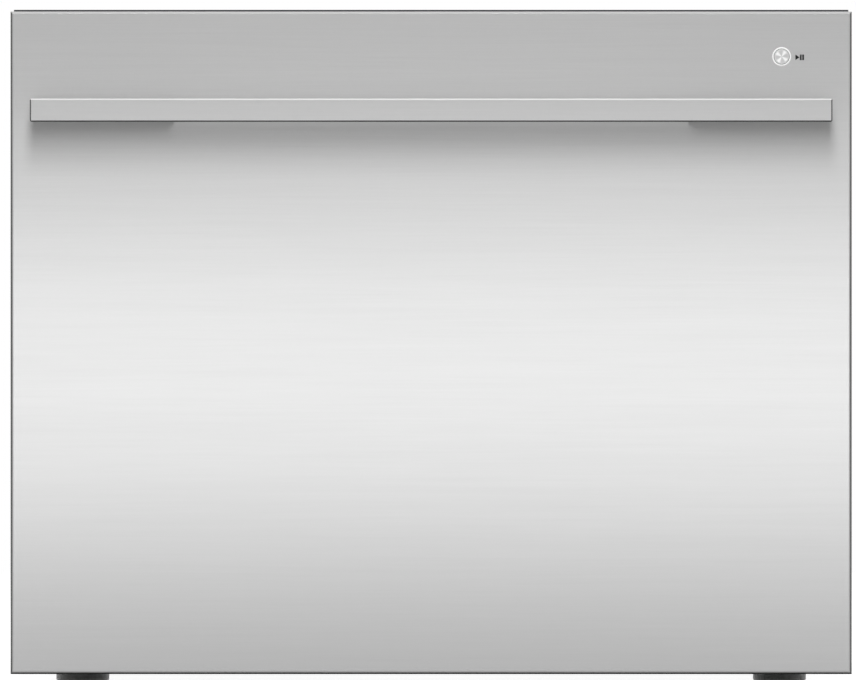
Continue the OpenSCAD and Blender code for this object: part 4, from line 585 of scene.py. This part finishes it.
foot_low, foot_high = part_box("foot_front_left")
pad_r, stud_r, hex_r = (foot_high.x - foot_low.x) / 2, 5 * MM, 9 * MM
pad_edge = pad_r - np.array([1.4, 0.4, 0, 0, 0.5, 1.6]) * MM
pad_r_rows = np.append(pad_edge, [10.6 * MM, 10 * MM])
pad_rows = np.array([0, 0.35, 1.2, 4.6, 5.3, 5.8, 8.7, 9.0]) * MM
foot_steps = 48
turn = np.arange(foot_steps) * 2 * math.pi / foot_steps
hexagon = hex_r * math.cos(math.pi / 6) / np.cos(turn % (math.pi / 3) - math.pi / 6)
hex_rows = np.array([8.6, 12.9, 13.3, 13.7, 14.0]) * MM
hex_radius = np.minimum(hexagon, np.array([9.0, 9.0, 8.8, 8.5, 8.1])[:, None] * MM)
stud = thread(stud_r, 0.55 * MM, 1.5 * MM, 13.6 * MM, foot_high.z)
foot_points, foot_faces = joined([upright(pad_r_rows, pad_rows), upright(hex_radius, hex_rows), upright(*stud)])
for name in ("foot_front_left", "foot_front_right", "foot_back_left", "foot_back_right"):
    low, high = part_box(name)
    place = [(low.x + high.x) / 2, (low.y + high.y) / 2, 0]
    foot = mesh_piece(name + "_turned", foot_points + place, foot_faces, finishes["foot_plastic"], name)
    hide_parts(name)
print(len(foot_faces), "faces in a foot")

# %% [markdown]
# The water inlet takes a hose with a three quarter inch nut, so it has a coarse thread round its mouth. The same wave
# makes it, as a thin threaded sleeve that is laid with its axis from front to back.

# %% Thread on the water inlet
_, inlet_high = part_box("inlet_valve")
inlet_x, inlet_z, inlet_r = -150 * MM, 68 * MM, 13.2 * MM
out_r, out_h = thread(inlet_r + 0.22 * MM, 0.5 * MM, 1.8 * MM, inlet_high.y - 14.2 * MM, inlet_high.y - 0.7 * MM)
sleeve_r = np.vstack([out_r, np.full((2, out_r.shape[1]), inlet_r - 0.6 * MM)])
sleeve_h = np.vstack([out_h, out_h[-1:], out_h[:1]])
sleeve_points, sleeve_faces = upright(sleeve_r, sleeve_h, hollow=True)
sleeve_points = sleeve_points[:, [0, 2, 1]] * [1, 1, -1] + [inlet_x, 0, inlet_z]
mesh_piece("inlet_thread_sleeve", sleeve_points, sleeve_faces, finishes["valve_plastic"], "chassis")
print(len(sleeve_faces), "faces in the inlet's thread")

# %% [markdown]
# Small pan-head screws hold the sheets of the chassis together. Each head is a low dome with a cross-shaped recess:
# the dome's height is lowered wherever a point lies within either arm of the cross.

# %% Chassis screws
head_steps, head_r, head_h, head_rim = 64, 3.6 * MM, 1.4 * MM, 0.35 * MM
arm_half_w, arm_reach, recess_depth, recess_slope = 0.45 * MM, 2.0 * MM, 0.85 * MM, 0.2 * MM
screw_rows = [(y, z) for y in (-190, 20, 230) for z in (33, 472)]
swing = np.linspace(math.pi / 2, 0.008, 36)[:, None]
dome_r = head_r * np.sin(swing)
dome_h = head_rim + (head_h - head_rim) * np.cos(swing)
head_turn = np.arange(head_steps) * 2 * math.pi / head_steps
across, up = np.abs(dome_r * np.cos(head_turn)), np.abs(dome_r * np.sin(head_turn))


def arm(along, aside):
    """1 inside one arm of the cross, 0 outside it, with a slope 0.2 mm wide between."""
    inside = np.minimum(arm_half_w - aside, arm_reach - along)
    return np.clip(inside / recess_slope + 0.5, 0, 1)


recess = recess_depth * np.maximum(arm(across, up), arm(up, across))
shank_r = np.array([0.02, 1.7, 1.7, 3.6, 3.6])[:, None] * MM * np.ones(head_steps)
shank_h = np.array([-4.5, -4.5, 0.0, 0.0, 0.2])[:, None] * MM * np.ones(head_steps)
screw_points, screw_faces = upright(
    np.vstack([shank_r, dome_r * np.ones(head_steps)]), np.vstack([shank_h, dome_h - recess]), head_steps
)
_, screws_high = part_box("chassis_screws")
side_x = screws_high.x - head_h
solids = []
for number, (y, z) in enumerate(screw_rows):
    for side in (-1, 1):
        spin = 0.9 * number + 0.4 * side
        turned_points = screw_points @ np.array(
            [[math.cos(spin), math.sin(spin), 0], [-math.sin(spin), math.cos(spin), 0], [0, 0, 1]]
        )
        placed = turned_points[:, [2, 0, 1]] * [side, side, 1] + [side * side_x, y * MM, z * MM]
        solids.append((placed, screw_faces))
screws = mesh_piece("chassis_screw_heads", *joined(solids), finishes["screw_steel"], "chassis")
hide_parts("chassis_screws")
print(len(solids), "screws")

# %% [markdown]
# The studio is a pale floor under a white surround, a tall soft lamp in front, two softer ones behind the sides, and a
# card in front. Steel is a dull mirror, so its brightness is that of whatever it faces. The card is brightest in a
# level band at the height of the front's middle and falls off above and below, and the front shows that as a soft glow
# across its middle. Black flags stand beside it and lie on the floor before it, as in a photographer's studio, so that
# the front's edges mirror something dark. Only reflections show the card and the flags. The floor and the surround are
# plain white where the camera, a mirror or glass shows them, and light the dull surfaces only weakly.

# %% Floor, card, flags, lamps and surround
floor_grey, floor_glow = 0.32, 0.85
surround_fill, surround_seen = 0.1, 1.0
flag_x, flag_y_far, flag_y_near, flag_floor_near, flag_top = 0.5, -1.09, -0.32, -0.20, 0.6


def stage_sheet(name, corners, material):
    """A flat rectangle of the studio, which isn't part of the object."""
    mesh = bpy.data.meshes.new(name)
    mesh.from_pydata(corners, [], [(0, 1, 2, 3)])
    mesh.materials.append(material)
    sheet = bpy.data.objects.new(name, mesh)
    bpy.context.scene.collection.objects.link(sheet)
    return sheet


def seen_directly(tree):
    """1 for what the camera sees by itself, in a mirror or through glass, and 0 for what only lights a dull surface."""
    path = tree.nodes.new("ShaderNodeLightPath")
    seen = path.outputs["Is Camera Ray"]
    for ray in ("Is Glossy Ray", "Is Transmission Ray"):
        either = tree.nodes.new("ShaderNodeMath")
        either.operation = "MAXIMUM"
        tree.links.new(seen, either.inputs[0])
        tree.links.new(path.outputs[ray], either.inputs[1])
        seen = either.outputs[0]
    return seen


def white_when_seen(tree, surface, output, extra):
    """Adds plain white of strength extra to a surface where it is seen, but no light for the dull surfaces near it."""
    strength = tree.nodes.new("ShaderNodeMath")
    strength.operation = "MULTIPLY"
    strength.inputs[1].default_value = extra
    tree.links.new(seen_directly(tree), strength.inputs[0])
    glow = tree.nodes.new("ShaderNodeEmission")
    tree.links.new(strength.outputs[0], glow.inputs["Strength"])
    both = tree.nodes.new("ShaderNodeAddShader")
    tree.links.new(surface, both.inputs[0])
    tree.links.new(glow.outputs[0], both.inputs[1])
    tree.links.new(both.outputs[0], output)


floor_paint, floor_tree, floor_shader, _ = start_finish("floor_paint", (floor_grey,) * 3, 0.9)
floor_shader.inputs["Specular IOR Level"].default_value = 0.1
floor_output = floor_tree.nodes["Material Output"].inputs["Surface"]
white_when_seen(floor_tree, floor_shader.outputs[0], floor_output, floor_glow)
stage_sheet("floor", [(-12, -6, 0), (12, -6, 0), (12, 4, 0), (-12, 4, 0)], floor_paint)


def hidden_sheet(name, corners, material):
    """A sheet that only shows in reflections: the camera looks through it and it casts no shade."""
    sheet = stage_sheet(name, corners, material)
    sheet.visible_camera = False
    sheet.visible_shadow = False
    sheet.visible_diffuse = False
    sheet.visible_transmission = False
    return sheet


floor_cloth, *_ = start_finish("floor_cloth", (0.05, 0.05, 0.05), 0.9)
floor_corners = [(-flag_x, flag_y_far), (flag_x, flag_y_far), (flag_x, flag_floor_near), (-flag_x, flag_floor_near)]
hidden_sheet("flag_floor", [(x, y, 0.002) for x, y in floor_corners], floor_cloth)

card_y, card_half_w, card_low, card_top = -1.1, 0.5, -0.3, 1.0
card_paint = bpy.data.materials.new("card_light")
card_paint.use_nodes = True
card_tree = card_paint.node_tree
card_tree.nodes.clear()
card_where = card_tree.nodes.new("ShaderNodeTexCoord")
card_split = card_tree.nodes.new("ShaderNodeSeparateXYZ")
card_tree.links.new(card_where.outputs["Object"], card_split.inputs[0])
heights = spread(card_tree, card_split.outputs["Z"], 0, 1, card_low, card_top)
card_ramp = card_tree.nodes.new("ShaderNodeValToRGB")
card_tree.links.new(heights, card_ramp.inputs["Fac"])
card_ramp.color_ramp.interpolation = "B_SPLINE"
stops = [
    (-0.30, 0.00), (-0.01, 0.05), (0.03, 0.23), (0.07, 0.53), (0.115, 0.88), (0.16, 1.13), (0.23, 1.26),
    (0.29, 1.05), (0.335, 0.74), (0.37, 0.42), (0.42, 0.05), (0.47, 0.00), (0.60, 0.00), (1.00, 0.00),
]
brightest = max(light for height, light in stops)
while len(card_ramp.color_ramp.elements) < len(stops):
    card_ramp.color_ramp.elements.new(0.5)
for element, (height, light) in zip(card_ramp.color_ramp.elements, stops):
    element.position = (height - card_low) / (card_top - card_low)
    element.color = (light / brightest, light / brightest, light / brightest, 1)
card_emit = card_tree.nodes.new("ShaderNodeEmission")
card_out = card_tree.nodes.new("ShaderNodeOutputMaterial")
card_tree.links.new(card_ramp.outputs["Color"], card_emit.inputs["Color"])
card_emit.inputs["Strength"].default_value = brightest
card_tree.links.new(card_emit.outputs[0], card_out.inputs["Surface"])
card_corners = [(card_half_w, card_low), (-card_half_w, card_low), (-card_half_w, card_top), (card_half_w, card_top)]
hidden_sheet("front_card", [(x, card_y, z) for x, z in card_corners], card_paint)

flag_cloth, *_ = start_finish("flag_cloth", (0.03, 0.03, 0.03), 0.9)
for side, name in ((-1, "flag_left"), (1, "flag_right")):
    flag_corners = [(flag_y_far, 0), (flag_y_near, 0), (flag_y_near, flag_top), (flag_y_far, flag_top)]
    hidden_sheet(name, [(side * flag_x, y, z) for y, z in flag_corners], flag_cloth)


def soft_lamp(name, place, aim, size, watts):
    """A soft rectangular lamp that shines from place towards aim and doesn't show in reflections."""
    data = bpy.data.lights.new(name, "AREA")
    data.shape = "RECTANGLE"
    data.size, data.size_y = size
    data.energy = watts
    lamp = bpy.data.objects.new(name, data)
    lamp.location = place
    lamp.rotation_euler = (Vector(aim) - Vector(place)).to_track_quat("-Z", "Y").to_euler()
    lamp.visible_glossy = False
    lamp.visible_camera = False
    bpy.context.scene.collection.objects.link(lamp)


soft_lamp("front_lamp", (0, -4.9, 2.6), (0, -0.3, 0.25), (1.0, 4.0), 272)
for side, name in ((-1, "back_lamp_left"), (1, "back_lamp_right")):
    soft_lamp(name, (side * 2.6, 1.6, 2.2), (0, 0, 0.2), (1.6, 1.6), 75)

world = bpy.data.worlds.new("studio")
bpy.context.scene.world = world
world.use_nodes = True
surround = world.node_tree
surround.nodes.clear()
glow = surround.nodes.new("ShaderNodeMix")
glow.data_type = "FLOAT"
glow.inputs["A"].default_value = surround_fill
glow.inputs["B"].default_value = surround_seen
surround.links.new(seen_directly(surround), glow.inputs["Factor"])
background = surround.nodes.new("ShaderNodeBackground")
background.inputs["Color"].default_value = (1, 1, 1, 1)
surround.links.new(glow.outputs["Result"], background.inputs["Strength"])
world_out = surround.nodes.new("ShaderNodeOutputWorld")
surround.links.new(background.outputs[0], world_out.inputs["Surface"])
bpy.context.scene.view_settings.view_transform = "Standard"
print(len(bpy.data.lights), "lamps, and a card whose brightest band is", brightest)
